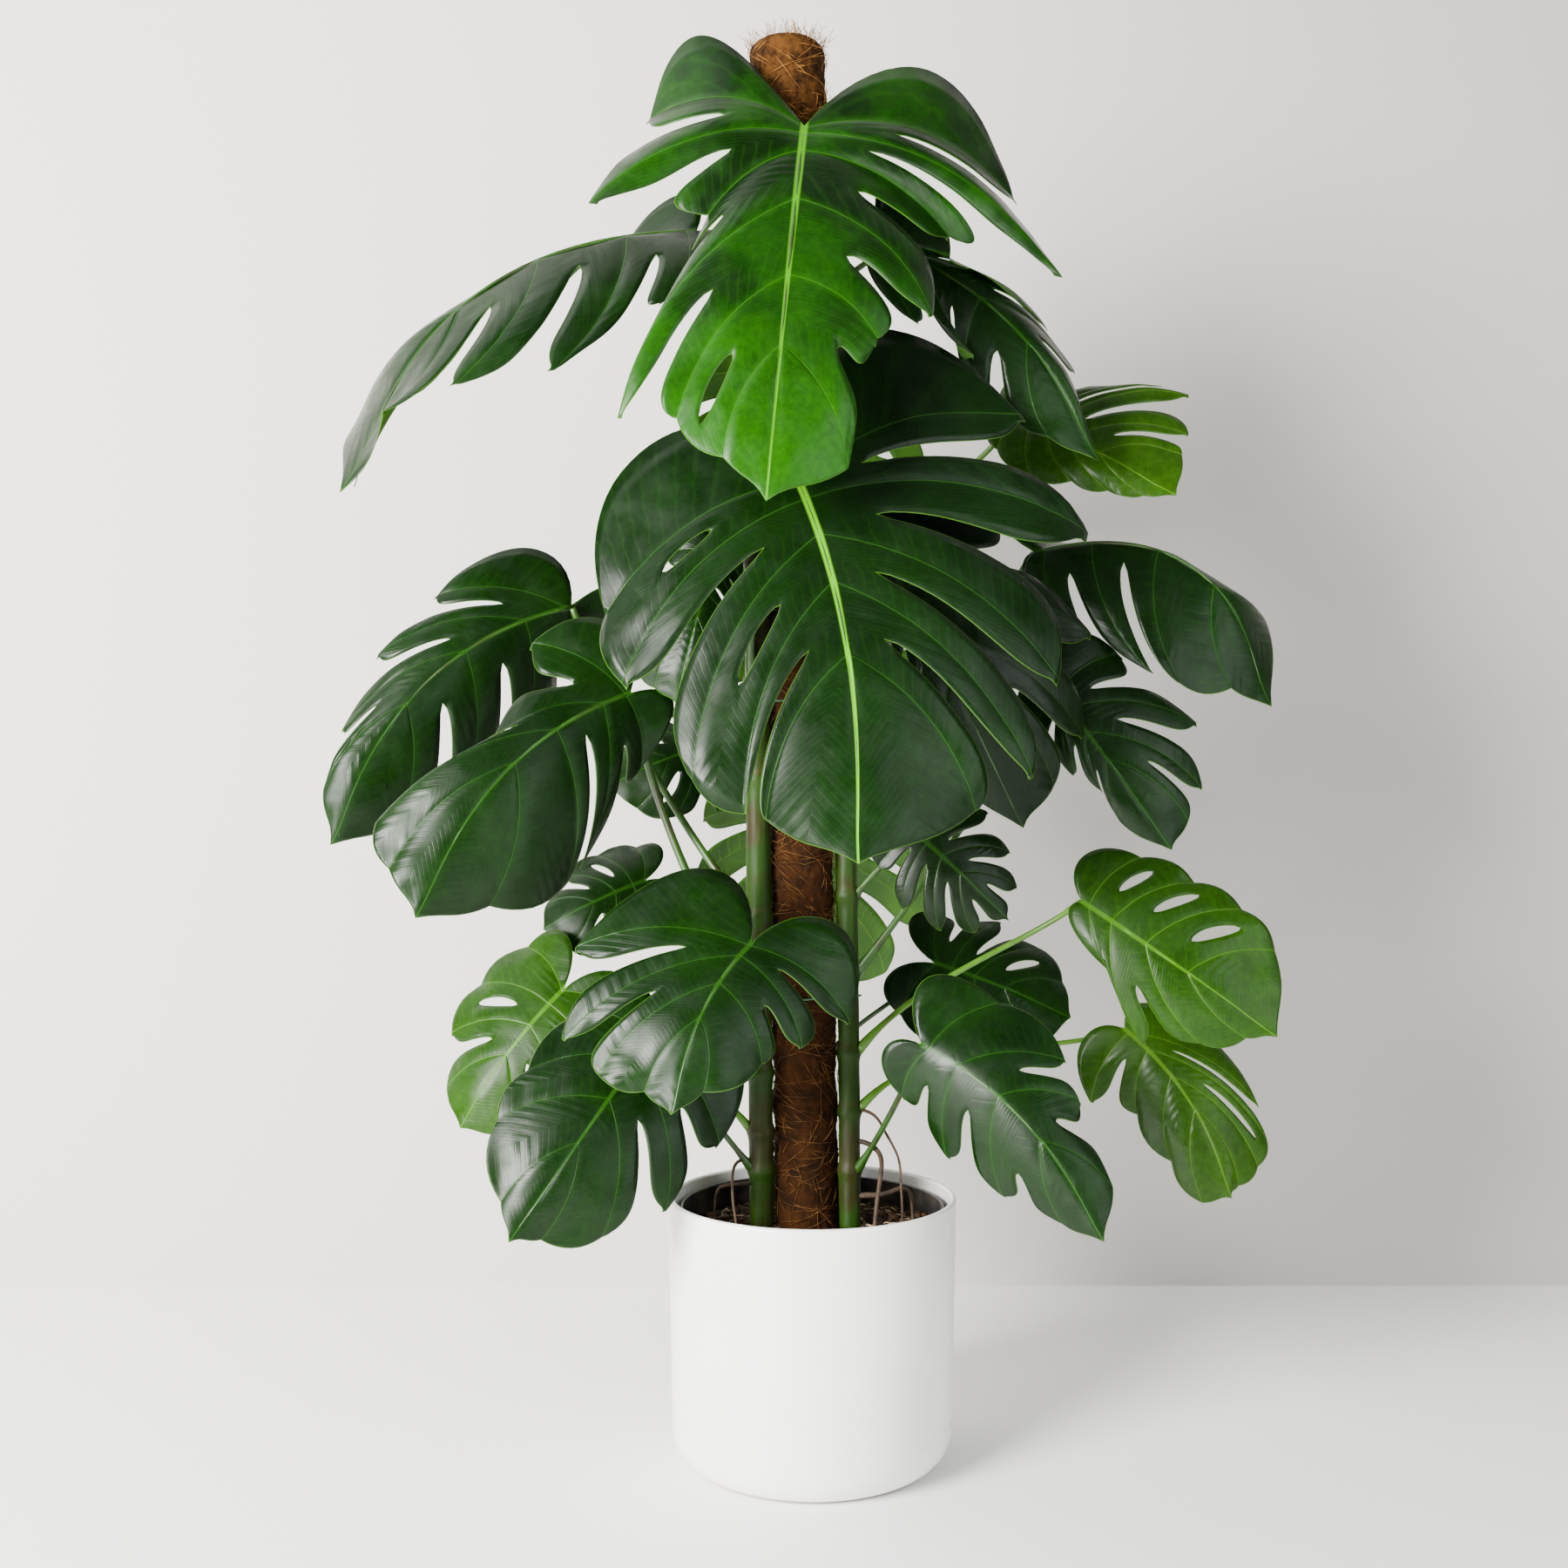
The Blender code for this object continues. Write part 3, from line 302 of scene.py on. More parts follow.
leafOutlines = {
    "largest": {
        "roots": (0.01, 0.07, 0.18, 0.32, 0.52),
        "left": ((0.52, 0.29), (0.5, 0.49), (0.36, 0.77), (0.245, 0.87), (0.2, 0.89)),
        "leftSlots": ((0.4, 0.66), 0.22, (0.26, 0.6), 0.22), "leftEar": ((0.1, -0.35), (0.62, -0.2)),
        "right": ((0.62, -0.15, 0.06), (0.75, 0.18), (0.58, 0.6), (0.466, 0.85), (0.31, 0.92)),
        "rightSlots": (0.24, 0.22, 0.18, 0.2), "rightEar": ((0.03, -0.46), (0.34, -0.62)),
    },
    "upper": {
        "roots": (0.01, 0.03, 0.1, 0.27, 0.5, 0.68),
        "left": ((0.38, -0.08, -0.06, 0.1), (0.48, 0.27, -0.04, 0.06), (0.2, 0.28, -0.06), (0.34, 0.86),
            (0.21, 0.86), (0.1, 0.95)),
        "leftSlots": (0.42, 0.42, 0.45, 0.42, (0.45, 0.9)), "leftEar": ((0.16, -0.2), (0.33, -0.48)),
        "right": ((0.52, 0.04, -0.06, 0.1), (0.63, 0.34, -0.02, 0.04), (0.36, 0.24, -0.06), (0.33, 0.53),
            (0.21, 0.62), (0.17, 0.93)),
        "rightSlots": (0.35, 0.28, 0.35, 0.4, 0.55), "rightEar": ((0.12, -0.22), (0.36, -0.42)),
    },
    "top_left": {
        "roots": (0.02, 0.14, 0.34, 0.56),
        "left": ((0.16, 0.14, -0.2), (0.27, 0.45, -0.35), (0.26, 0.68, -0.3), (0.2, 0.88, -0.12)),
        "leftSlots": (0.3, 0.25, 0.3), "leftEar": ((0.06, -0.12), (0.18, -0.06)),
        "right": ((0.15, 0.22, 0.1), (0.14, 0.53, 0.12), (0.02, 0.71, 0.12), (-0.05, 0.86, 0.08)),
        "rightSlots": (0.25, 0.16, 0.22), "rightEar": ((0.08, -0.12), (0.18, -0.02)),
    },
    "top_right": {
        "roots": (0.03, 0.16, 0.36, 0.58),
        "left": ((0.15, 0.28, 0.05), (0.1, 0.5, 0.08), (0.22, 0.64, -0.05), (0.08, 0.86)),
        "leftSlots": (0.25, 0.25, 0.3), "leftEar": ((0.05, -0.1), (0.18, 0.05)),
        "right": ((0.05, 0.22, 0.12), (0.27, 0.56, -0.12), (0.22, 0.74, -0.12), (0.06, 0.9)),
        "rightSlots": (0.25, 0.3, 0.4), "rightEar": ((0.16, -0.38), (0.38, 0.0)),
    },
    "left_back": {
        "roots": (0.02, 0.14, 0.34, 0.58),
        "left": ((0.32, 0.26), (0.31, 0.52), (0.22, 0.76), (0.13, 0.93)),
        "leftSlots": (0.3, 0.3, 0.5), "leftEar": ((0.14, -0.18), (0.36, -0.04)),
        "right": ((0.12, -0.02, -0.2), (0.16, 0.4, -0.28), (0.16, 0.66, -0.22), (0.08, 0.84, -0.12)),
        "rightSlots": (0.35, 0.2, 0.2), "rightEar": ((0.02, -0.22), (0.14, -0.2)),
    },
    "left_front": {
        "roots": (0.02, 0.1, 0.28, 0.46),
        "left": ((0.36, 0.08), (0.22, 0.43), (0.31, 0.88), (0.17, 0.97)),
        "leftSlots": (0.42, 0.4), "leftEar": ((0.12, -0.26), (0.36, -0.16)),
        "right": ((0.19, 0.14, -0.1), (0.265, 0.52, -0.16), (0.27, 0.6, -0.13), (0.14, 0.84, -0.05)),
        "rightSlots": (0.4, 0.12), "rightEar": ((0.1, -0.18), (0.18, -0.08)),
    },
    "right_upper": {
        "roots": (0.03, 0.16, 0.38, 0.62),
        "left": ((0.19, 0.27, 0.06), (0.17, 0.62, 0.12), (0.14, 0.72, 0.1), (0.04, 0.88, 0.05)),
        "leftSlots": (0.25, 0.12), "leftEar": ((0.06, -0.06), (0.2, 0.08)),
        "right": ((0.13, 0.02, -0.2), (0.26, 0.3, -0.35), (0.33, 0.55, -0.32), (0.28, 0.84, -0.12)),
        "rightSlots": (0.35, 0.3, 0.4), "rightEar": ((-0.02, -0.3), (0.2, -0.26)),
    },
    "right_middle": {
        "roots": (0.03, 0.12, 0.28, 0.46),
        "left": ((0.22, 0.12), (0.19, 0.42), (0.12, 0.57), (0.13, 0.76)),
        "leftSlots": (0.35, 0.4, 0.4), "leftEar": ((0.05, -0.22), (0.26, -0.12)),
        "right": ((0.42, 0.02), (0.53, 0.56), (0.34, 0.86), (0.17, 0.96)),
        "rightSlots": (0.3, 0.3, 0.45), "rightEar": ((0.05, -0.3), (0.38, -0.3)),
    },
    "right_low": {
        "roots": (0.04, 0.16, 0.34, 0.56),
        "left": ((0.19, 0.32), (0.37, 0.58), (0.22, 0.78), (0.08, 0.93)),
        "leftSlots": (0.35, 0.45), "leftEar": ((0.08, -0.1), (0.18, 0.08)),
        "right": ((0.33, 0.1), (0.37, 0.36), (0.39, 0.6), (0.32, 0.82)),
        "rightSlots": ((0.35, 0.8), (0.32, 0.8), (0.3, 0.8)), "rightEar": ((0.1, -0.22), (0.32, -0.1)),
    },
    "low_front": {
        "roots": (0.02, 0.1, 0.3, 0.52),
        "left": ((0.86, 0.39), (0.7, 0.88), (0.44, 0.98), (0.18, 0.97)),
        "leftSlots": (0.32, 0.45), "leftEar": ((0.15, -0.52), (0.66, -0.42)),
        "right": ((0.67, 0.13), (0.48, 0.4), (0.32, 0.58), (0.1, 0.86)),
        "rightSlots": (0.32, 0.5), "rightEar": ((0.1, -0.36), (0.6, -0.56)),
    },
    "lowest_left": {
        "roots": (0.03, 0.14, 0.34, 0.56),
        "left": ((0.28, 0.05), (0.35, 0.42), (0.33, 0.66), (0.12, 0.92)),
        "leftSlots": (), "leftEar": ((0.06, -0.22), (0.32, -0.22)),
        "right": ((0.49, 0.2), (0.46, 0.56), (0.3, 0.8), (0.1, 0.95)),
        "rightSlots": (0.5, 0.3), "rightEar": ((0.06, -0.28), (0.52, -0.28)),
    },
    "low_right_front": {
        "roots": (0.03, 0.16, 0.36, 0.6),
        "left": ((0.2, 0.08, -0.1), (0.23, 0.38, -0.16), (0.17, 0.64, -0.14), (0.07, 0.88, -0.06)),
        "leftSlots": (0.45, 0.32, 0.6), "leftEar": ((0.05, -0.16), (0.22, -0.12)),
        "right": ((0.35, 0.08), (0.38, 0.43), (0.31, 0.58), (0.17, 0.91)),
        "rightSlots": (None, 0.45, 0.45), "rightEar": ((0.08, -0.26), (0.32, -0.28)),
    },
    "right_lowest": {
        "roots": (0.03, 0.16, 0.34, 0.55),
        "left": ((0.36, 0.24, -0.05), (0.18, 0.42, -0.08), (0.16, 0.72, -0.06), (0.14, 0.98)),
        "leftSlots": (0.3,), "leftEar": ((0.1, -0.16), (0.36, -0.1)),
        "right": ((0.4, 0.7), (0.34, 0.88), (0.22, 0.97), (0.07, 1.0)),
        "rightSlots": (0.22, (0.34, 0.88)), "rightEar": ((0.16, -0.3), (0.5, 0.25)),
    },
    "far_right": {
        "roots": (0.03, 0.12, 0.22, 0.36, 0.55),
        "left": ((0.2, 0.02), (0.26, 0.27), (0.2, 0.5), (0.15, 0.7), (0.08, 0.88)),
        "leftSlots": (), "leftEar": ((0.05, -0.12), (0.2, -0.12)),
        "right": ((0.35, 0.06), (0.63, 0.58), (0.68, 0.74), (0.42, 0.88), (0.27, 0.92)),
        "rightSlots": (0.3, 0.22, 0.22, 0.3), "rightEar": ((0.06, -0.25), (0.32, -0.2)),
    },
    "deep": {
        "roots": (0.02, 0.12, 0.28, 0.48),
        "left": ((0.4, -0.04), (0.52, 0.34), (0.44, 0.68), (0.26, 0.9)),
        "leftSlots": (0.26, 0.24, 0.26, 0.5), "leftEar": ((0.06, -0.3), (0.38, -0.34)),
        "right": ((0.44, -0.04), (0.56, 0.3), (0.44, 0.66), (0.26, 0.9)),
        "rightSlots": (0.26, 0.24, 0.28, 0.5), "rightEar": ((0.06, -0.3), (0.38, -0.34)),
    },
    "windowed": {
        "roots": (0.02, 0.13, 0.3, 0.52),
        "left": ((0.42, -0.08), (0.5, 0.28), (0.44, 0.62), (0.25, 0.9)),
        "leftSlots": (None, (0.3, 0.8), 0.34), "leftEar": ((0.08, -0.34), (0.38, -0.38)),
        "right": ((0.42, -0.08), (0.52, 0.32), (0.44, 0.66), (0.25, 0.9)),
        "rightSlots": (0.42, 0.3, (0.3, 0.8)), "rightEar": ((0.08, -0.34), (0.38, -0.38)),
    },
}

# each leaf: tone, base and tip of its midrib above the soil, the way it faces, outline, droop of its left
# and right half, bow, sway, and the vine, height and radius of its stalk

leafColumns = ("tone", "base", "tip", "face", "outline", "droop", "bow", "sway", "vine", "height", "stalk")
leafRows = {
    "top_front": (
        "front", (-0.009, -0.08, 1.102), (-0.044, -0.24, 0.719), (0.05, -1, 0.55), "upper", (0.1, 0.15), 0.08,
        0, "vine_left", 0.788, 0.004),
    "middle_front": (
        "broad", (-0.017, -0.15, 0.743), (0.034, -0.27, 0.394), (0.05, -1, 0.3), "largest", (0.2, 0.2), 0.05,
        0.05, "vine_left", 0.558, 0.0045),
    "top_left": (
        "mature", (-0.119, 0.0, 1.024), (-0.448, -0.1, 0.743), (-0.1, -1, 0.2), "top_left", (0.1, 0.1), 0.04,
        -0.18, "vine_back", 0.858, 0.0035),
    "top_right": (
        "mature", (0.073, -0.03, 1.0), (0.28, -0.045, 0.784), (0.1, -1, 0.2), "top_right", (0.1, 0.1), 0.05,
        0.1, "vine_back", 0.958, 0.0035),
    "far_right": (
        "young", (0.215, 0.06, 0.843), (0.37, 0.0, 0.753), (0, -1, 0.3), "far_right", (0.25, 0.25), 0.06, 0,
        "vine_back", 0.658, 0.0035),
    "left_back": (
        "mature", (-0.258, 0.08, 0.645), (-0.489, 0.0, 0.399), (0, -1, 0.1), "left_back", (0.2, 0.2), 0.07,
        -0.13, "vine_left", 0.318, 0.004),
    "left_front": (
        "mature", (-0.182, -0.06, 0.544), (-0.369, -0.16, 0.334), (0.1, -1, 0.1), "left_front", (0.25, 0.25),
        0.06, -0.11, "vine_left", 0.248, 0.0045),
    "right_upper": (
        "mature", (0.236, 0.05, 0.699), (0.466, 0.0, 0.539), (-0.1, -1, 0.1), "right_upper", (0.1, 0.1), 0.05,
        0.26, "vine_right", 0.458, 0.0035),
    "right_middle": (
        "mature", (0.247, -0.02, 0.548), (0.356, -0.05, 0.392), (0, -1, 0.1), "right_middle", (0.25, 0.25),
        0.05, 0, "vine_right", 0.258, 0.0035),
    "behind_right": (
        "dark", (0.07, -0.08, 0.678), (0.205, -0.06, 0.418), (0, -1, 0.2), "right_middle", (0.2, 0.2), 0.06,
        0, "vine_right", 0.508, 0.0035),
    "right_dark": (
        "dark", (0.105, -0.03, 0.403), (0.195, -0.04, 0.318), (0, -1, 0.2), "deep", (0.3, 0.3), 0.06, 0,
        "vine_right", 0.338, 0.003),
    "low_front": (
        "mature", (-0.06, -0.15, 0.302), (-0.129, -0.22, 0.158), (0, -1, 0.1), "low_front", (0.25, 0.25),
        0.08, -0.08, "vine_left", 0.158, 0.0035),
    "lowest_left": (
        "mature", (-0.158, -0.08, 0.204), (-0.282, -0.17, 0.031), (0, -1, 0.1), "lowest_left", (0.25, 0.25),
        0.06, 0, "vine_left", 0.058, 0.003),
    "far_left_low": (
        "bright", (-0.26, 0.03, 0.238), (-0.36, 0.0, 0.103), (-0.2, -1, 0.4), "windowed", (0.3, 0.3), 0.1, 0,
        "vine_left", 0.098, 0.0028),
    "left_low_back": (
        "mature", (-0.18, 0.1, 0.348), (-0.285, 0.08, 0.298), (0, -1, 0.6), "windowed", (0.3, 0.3), 0.06, 0,
        "vine_back", 0.198, 0.0028),
    "right_low": (
        "bright", (0.273, -0.03, 0.334), (0.451, -0.08, 0.208), (0, -1, 0.1), "right_low", (0.25, 0.3), 0.06,
        0, "vine_right", 0.178, 0.0032),
    "right_lowest": (
        "young", (0.328, 0.03, 0.196), (0.424, -0.02, 0.036), (0, -1, 0.1), "right_lowest", (0.2, 0.3), 0.06,
        0.08, "vine_right", 0.118, 0.003),
    "low_right_front": (
        "mature", (0.103, -0.13, 0.203), (0.259, -0.2, 0.039), (0, -1, 0.1), "low_right_front", (0.2, 0.3),
        0.06, 0.09, "vine_right", 0.058, 0.0032),
    "low_right_back": (
        "mature", (0.135, 0.1, 0.258), (0.275, 0.08, 0.203), (0, -1, 0.5), "windowed", (0.3, 0.3), 0.06, 0,
        "vine_back", 0.138, 0.0028),
    "behind_left": (
        "mature", (-0.09, 0.12, 0.503), (-0.215, 0.09, 0.453), (-0.1, -1, 0.5), "windowed", (0.3, 0.3), 0.06,
        0, "vine_back", 0.318, 0.003),
    "upper_behind_left": (
        "mature", (-0.095, -0.06, 0.683), (-0.135, -0.07, 0.538), (-0.2, -1, 0.2), "left_front", (0.1, 0.1),
        0.06, 0, "vine_left", 0.458, 0.003),
    "back_upper": (
        "mature", (-0.03, 0.17, 0.908), (-0.01, 0.36, 0.678), (-0.1, 0.85, 0.5), "windowed", (0.25, 0.25),
        0.07, 0, "vine_back", 0.718, 0.0038),
    "back_middle": (
        "mature", (0.05, 0.17, 0.658), (0.08, 0.36, 0.438), (0.1, 0.85, 0.5), "deep", (0.25, 0.25), 0.07, 0,
        "vine_back", 0.398, 0.0038),
    "back_low": (
        "mature", (0.0, 0.2, 0.418), (0.03, 0.38, 0.208), (0.1, 0.85, 0.5), "windowed", (0.25, 0.25), 0.07, 0,
        "vine_back", 0.238, 0.0035),
}
leaves = {name: dict(zip(leafColumns, row)) for name, row in leafRows.items()}


bladeShape = {
    "thickness": 0.0008,
    "rows": 28,
    "columns": 5,
    "lastColumns": 4,
    "veinBend": 0.20,
    "veinArch": 0.10,
    "earDroop": 0.6,
    "slotNarrowing": 0.40,
    "windowNarrowing": 0.25,
    "slotClosing": 0.58,
    "frontTaper": 10,
    "backTaper": 5,
    "endWidth": 0.14,
    "dripTip": 0.035,
    "wholeStart": 0.45,
    "quilt": 0.0065,
    "rimBulge": 0.16,
    "lastBulge": -0.10,
    "waveHeight": 0.030,
    "waveSize": 4.2,
    "rippleHeight": 0.35,
    "rippleSize": 2.7,
    "slotRows": (0.50, 0.82),
    "columnGathering": 1.35,
    "weld": 0.00005,
}


class LeafSurface:
    # one blade as a surface, from its outline and its pose

    def __init__(self, pose, shift):
        self.base = liftedPlace(pose["base"])
        along = liftedPlace(pose["tip"]) - self.base
        self.length = along.length
        along.normalize()
        face = Vector(pose["face"])
        self.normal = (face - along * face.dot(along)).normalized()
        across = self.normal.cross(along)
        self.frame = Matrix((across, along, self.normal)).transposed()
        shape = leafOutlines[pose["outline"]]
        self.roots = shape["roots"]
        self.bow = pose["bow"]
        self.sway = pose["sway"]
        self.shift = shift
        self.sides = {}
        for sign, side, droop in ((-1, "left", pose["droop"][0]), (1, "right", pose["droop"][1])):
            self.sides[sign] = self.sideOf(shape, side, sign, droop)

    def midrib(self, share):
        middle = Vector((2 * self.sway, 0.5, 2 * self.bow))
        return bezier(Vector((0, 0, 0)), middle, Vector((0, 1, 0)), share)

    def sideOf(self, shape, side, sign, droop):
        veins = []
        for root, lobe in zip(self.roots, shape[side]):
            start = self.midrib(root)
            lift = lobe[2] if len(lobe) > 2 else 0
            depth = lift - droop * lobe[0] + self.midrib(max(0, lobe[1])).z
            end = Vector((sign * lobe[0], lobe[1], depth))
            arch = lobe[3] if len(lobe) > 3 else 0
            veins.append((start, self.pull(start, end, sign, arch), end))
        ear = [Vector((sign * x, y, -droop * x * bladeShape["earDroop"])) for x, y in shape[side + "Ear"]]
        edge = (self.midrib(0), ear[0], ear[1], veins[0][2])
        return {"veins": veins, "slots": shape[side + "Slots"], "edge": edge}

    def pull(self, start, end, sign, arch):
        chord = end - start
        back = Vector((sign * chord.y, -sign * chord.x, 0)) * bladeShape["veinBend"]
        return (start + end) / 2 + back + Vector((0, 0, (bladeShape["veinArch"] + arch) * chord.length))

    def vein(self, sign, index, share):
        veins = self.sides[sign]["veins"]
        if index < len(veins):
            return bezier(*veins[index], share)
        start = self.roots[-1]
        return self.midrib(start + (1 - start) * share)

    def border(self, sign, index, share):
        if index < 0:
            return bezier4(*self.sides[sign]["edge"], share)
        return (self.vein(sign, index, share) + self.vein(sign, index + 1, share)) / 2

    def slot(self, sign, index):
        slots = self.sides[sign]["slots"]
        cut = slots[index] if 0 <= index < len(slots) else None
        return (cut, 1) if isinstance(cut, float) else cut

    def point(self, sign, index, across, row):
        # a mesh point, and its distances from side vein, midrib and rim
        side = -1 if across < 0 else 1
        border = index - 1 if side < 0 else index
        near = self.slot(sign, border)
        other = self.slot(sign, index if side < 0 else index - 1)
        edgeShare = rowShare(near, row)
        middleShare = (edgeShare + rowShare(other, row)) / 2
        depth = abs(across)
        share = middleShare + (edgeShare - middleShare) * depth
        reach = lobeWidth(near, edgeShare, side)
        middle = self.vein(sign, index, share)
        whole = self.border(sign, border, share) - middle
        flat = middle + whole * (depth * reach)
        width = whole.length
        if border >= 0 and (near is None or near[1] < 1):
            flat += self.rimBulge(sign, border) * (share ** 5 * depth * (2 - depth))
        veinLength = (self.vein(sign, index, 1) - self.vein(sign, index, 0)).length
        beyond = (1 - share) * veinLength
        opened = near is not None and near[0] < edgeShare < near[1] + (0.001 if near[1] >= 1 else 0)
        beside = (1 - depth) * reach * width if opened or border < 0 else 1.0
        if near is not None and not opened and edgeShare <= near[0]:
            beside = math.hypot((1 - depth) * width, (near[0] - edgeShare) * veinLength)
        ribDistance = abs(flat.x - self.midrib(min(max(flat.y, 0), 1)).x)
        rise = (4 * share * (1 - share)) ** 0.6
        puff = 1 - (1 - min(depth * 1.9, 1)) ** 2
        spot = Vector((flat.x, flat.y, self.shift)) * bladeShape["waveSize"]
        wave = bladeShape["waveHeight"] * share ** 2 * noise.noise(spot)
        ripple = bladeShape["waveHeight"] * bladeShape["rippleHeight"]
        wave += ripple * share ** 3 * noise.noise(spot * bladeShape["rippleSize"])
        flat.z += bladeShape["quilt"] * rise * puff + wave
        if index == len(self.roots):
            flat.y += bladeShape["dripTip"] * share ** 14 * (1 - depth) ** 3
        marks = (depth * reach * width, ribDistance, min(beside, beyond))
        return flat, tuple(value * self.length for value in marks)

    def rimBulge(self, sign, border):
        # how far the rim swells between the ends of two side veins, so that it is round and not a polygon
        first, second = self.vein(sign, border, 1), self.vein(sign, border + 1, 1)
        chord = second - first
        if border + 1 >= len(self.roots):
            return Vector((sign * -chord.y, sign * chord.x, 0)) * bladeShape["lastBulge"]
        return Vector((sign * chord.y, sign * -chord.x, 0)) * bladeShape["rimBulge"]

    def place(self, local):
        return self.base + self.frame @ (local * self.length)


def liftedPlace(place):
    return Vector((place[0], place[1], soilTop + place[2]))


def rowShare(slot, row):
    # how far along its vein a row lies, with the rows gathered along the slot
    start, end = (bladeShape["wholeStart"], 1) if slot is None else slot
    if end < 1:
        marks = (0, start, (start + end) / 2, end, 1)
    else:
        marks = (0, start, *(start + part * (1 - start) for part in bladeShape["slotRows"]), 1)
    place = row * 4
    index = min(int(place), 3)
    return marks[index] + (marks[index + 1] - marks[index]) * (place - index)


def lobeWidth(slot, share, side):
    # how much of its half-width a lobe keeps beside a slot
    if slot is None:
        return 1.0
    start, end = slot
    inside = between(start, end, share)
    if end < 1:
        return 1 - bladeShape["windowNarrowing"] * math.sqrt(max(0, math.sin(math.pi * inside)))
    if side < 0:
        taper = math.sqrt(1 - inside ** bladeShape["frontTaper"])
    else:
        taper = 1 - inside ** bladeShape["backTaper"]
    narrowing = bladeShape["slotNarrowing"] * math.sqrt(inside) * (1 - bladeShape["slotClosing"] * inside)
    return max(bladeShape["endWidth"], taper * (1 - narrowing))


def bladeMesh(blade):
    # one grid for each lobe, welded along the midrib and where no slot parts them
    bm = bmesh.new()
    marks = bm.verts.layers.float_vector.new("marks")
    towardsTip = bm.verts.layers.float.new("towardsTip")
    lobes = len(blade.roots) + 1
    for sign in (-1, 1):
        for index in range(lobes):
            last = index == lobes - 1
            columns = bladeShape["lastColumns"] if last else 2 * bladeShape["columns"]
            grid = bmesh.ops.create_grid(bm, x_segments=columns, y_segments=bladeShape["rows"], size=0.5)
            for vertex in grid["verts"]:
                across = (vertex.co.x - 0.5) if last else 2 * vertex.co.x
                if not last:
                    across = math.copysign(abs(across) ** bladeShape["columnGathering"], across)
                local, vertex[marks] = blade.point(sign, index, across, vertex.co.y + 0.5)
                vertex[towardsTip] = local.y
                vertex.co = blade.place(local)
            if sign > 0:
                faces = {face for vertex in grid["verts"] for face in vertex.link_faces}
                bmesh.ops.reverse_faces(bm, faces=list(faces))
    bmesh.ops.remove_doubles(bm, verts=bm.verts, dist=bladeShape["weld"])
    bmesh.ops.dissolve_degenerate(bm, edges=bm.edges, dist=bladeShape["weld"])
    bm.normal_update()
    facing = sum(face.normal.dot(blade.normal) * face.calc_area() for face in bm.faces)
    if facing < 0:
        bmesh.ops.reverse_faces(bm, faces=bm.faces)
    return bm


# leaf finishes

leafTones = {
    "mature": {"deep": (0.0011, 0.0082, 0.0005), "fresh": (0.0038, 0.023, 0.001),
               "vein": (0.01, 0.05, 0.002)},
    "bright": {"deep": (0.0058, 0.028, 0.0003), "fresh": (0.016, 0.056, 0.0005),
               "vein": (0.04, 0.13, 0.003)},
    "front": {"deep": (0.0009, 0.008, 0.0003), "fresh": (0.008, 0.064, 0.0002), "vein": (0.018, 0.095, 0.001),
              "freshFrom": 0.48, "tipShare": 0.95, "rib": (0.05, 0.21, 0.002), "ribWidth": 0.005},
    "broad": {"deep": (0.0011, 0.0078, 0.0006), "fresh": (0.0028, 0.018, 0.001),
              "vein": (0.012, 0.058, 0.003), "rib": (0.1, 0.36, 0.002), "ribWidth": 0.0052},
    "young": {"deep": (0.008, 0.033, 0.0004), "fresh": (0.022, 0.07, 0.001), "vein": (0.05, 0.13, 0.004)},
    "dark": {"deep": (0.001, 0.006, 0.0005), "fresh": (0.0028, 0.015, 0.0008),
             "vein": (0.007, 0.03, 0.0015)},
}
leafFinish = {
    "midribWidth": 0.0034,
    "midribThinning": 0.28,
    "veinWidth": 0.0011,
    "rimWidth": 0.0009,
    "fineLines": 900.0,
    "creases": 360.0,
    "rimColour": (0.06, 0.17, 0.01),
    "underDeep": (0.011, 0.048, 0.001),
    "underFresh": (0.025, 0.086, 0.0016),
    "underVein": (0.055, 0.14, 0.005),
    "roughness": (0.26, 0.43),
    "underRoughness": 0.52,
    "specular": 0.18,
}


def leafLines(finish, ribWidth):
    # masks for midrib, side veins, fine veins and rim, from the distances kept in the mesh
    besideVein, besideRib, besideRim = finish.split(finish.attribute("marks"))
    towardsTip = finish.attribute("towardsTip", "Fac")
    fatness = finish.ramp(towardsTip, 0.0, 1.0, 1.0, leafFinish["midribThinning"])
    ribLine = finish.ramp(finish.sums("DIVIDE", besideRib, fatness), ribWidth * 0.45, ribWidth, 1.0, 0.0)
    veinLine = finish.ramp(besideVein, 0.0003, leafFinish["veinWidth"], 1.0, 0.0)
    rimLine = finish.ramp(besideRim, 0.0002, leafFinish["rimWidth"], 1.0, 0.0)
    slant = finish.plus(finish.times(towardsTip, 0.30), finish.times(besideVein, 0.9))
    slant = finish.plus(slant, finish.times(finish.noise(finish.place(), 60.0, 2.0), 0.004))
    fineLine = finish.ramp(finish.sums("SINE", finish.times(slant, leafFinish["fineLines"])), 0.55, 1.0)
    return ribLine, veinLine, fineLine, rimLine, besideVein, towardsTip, slant


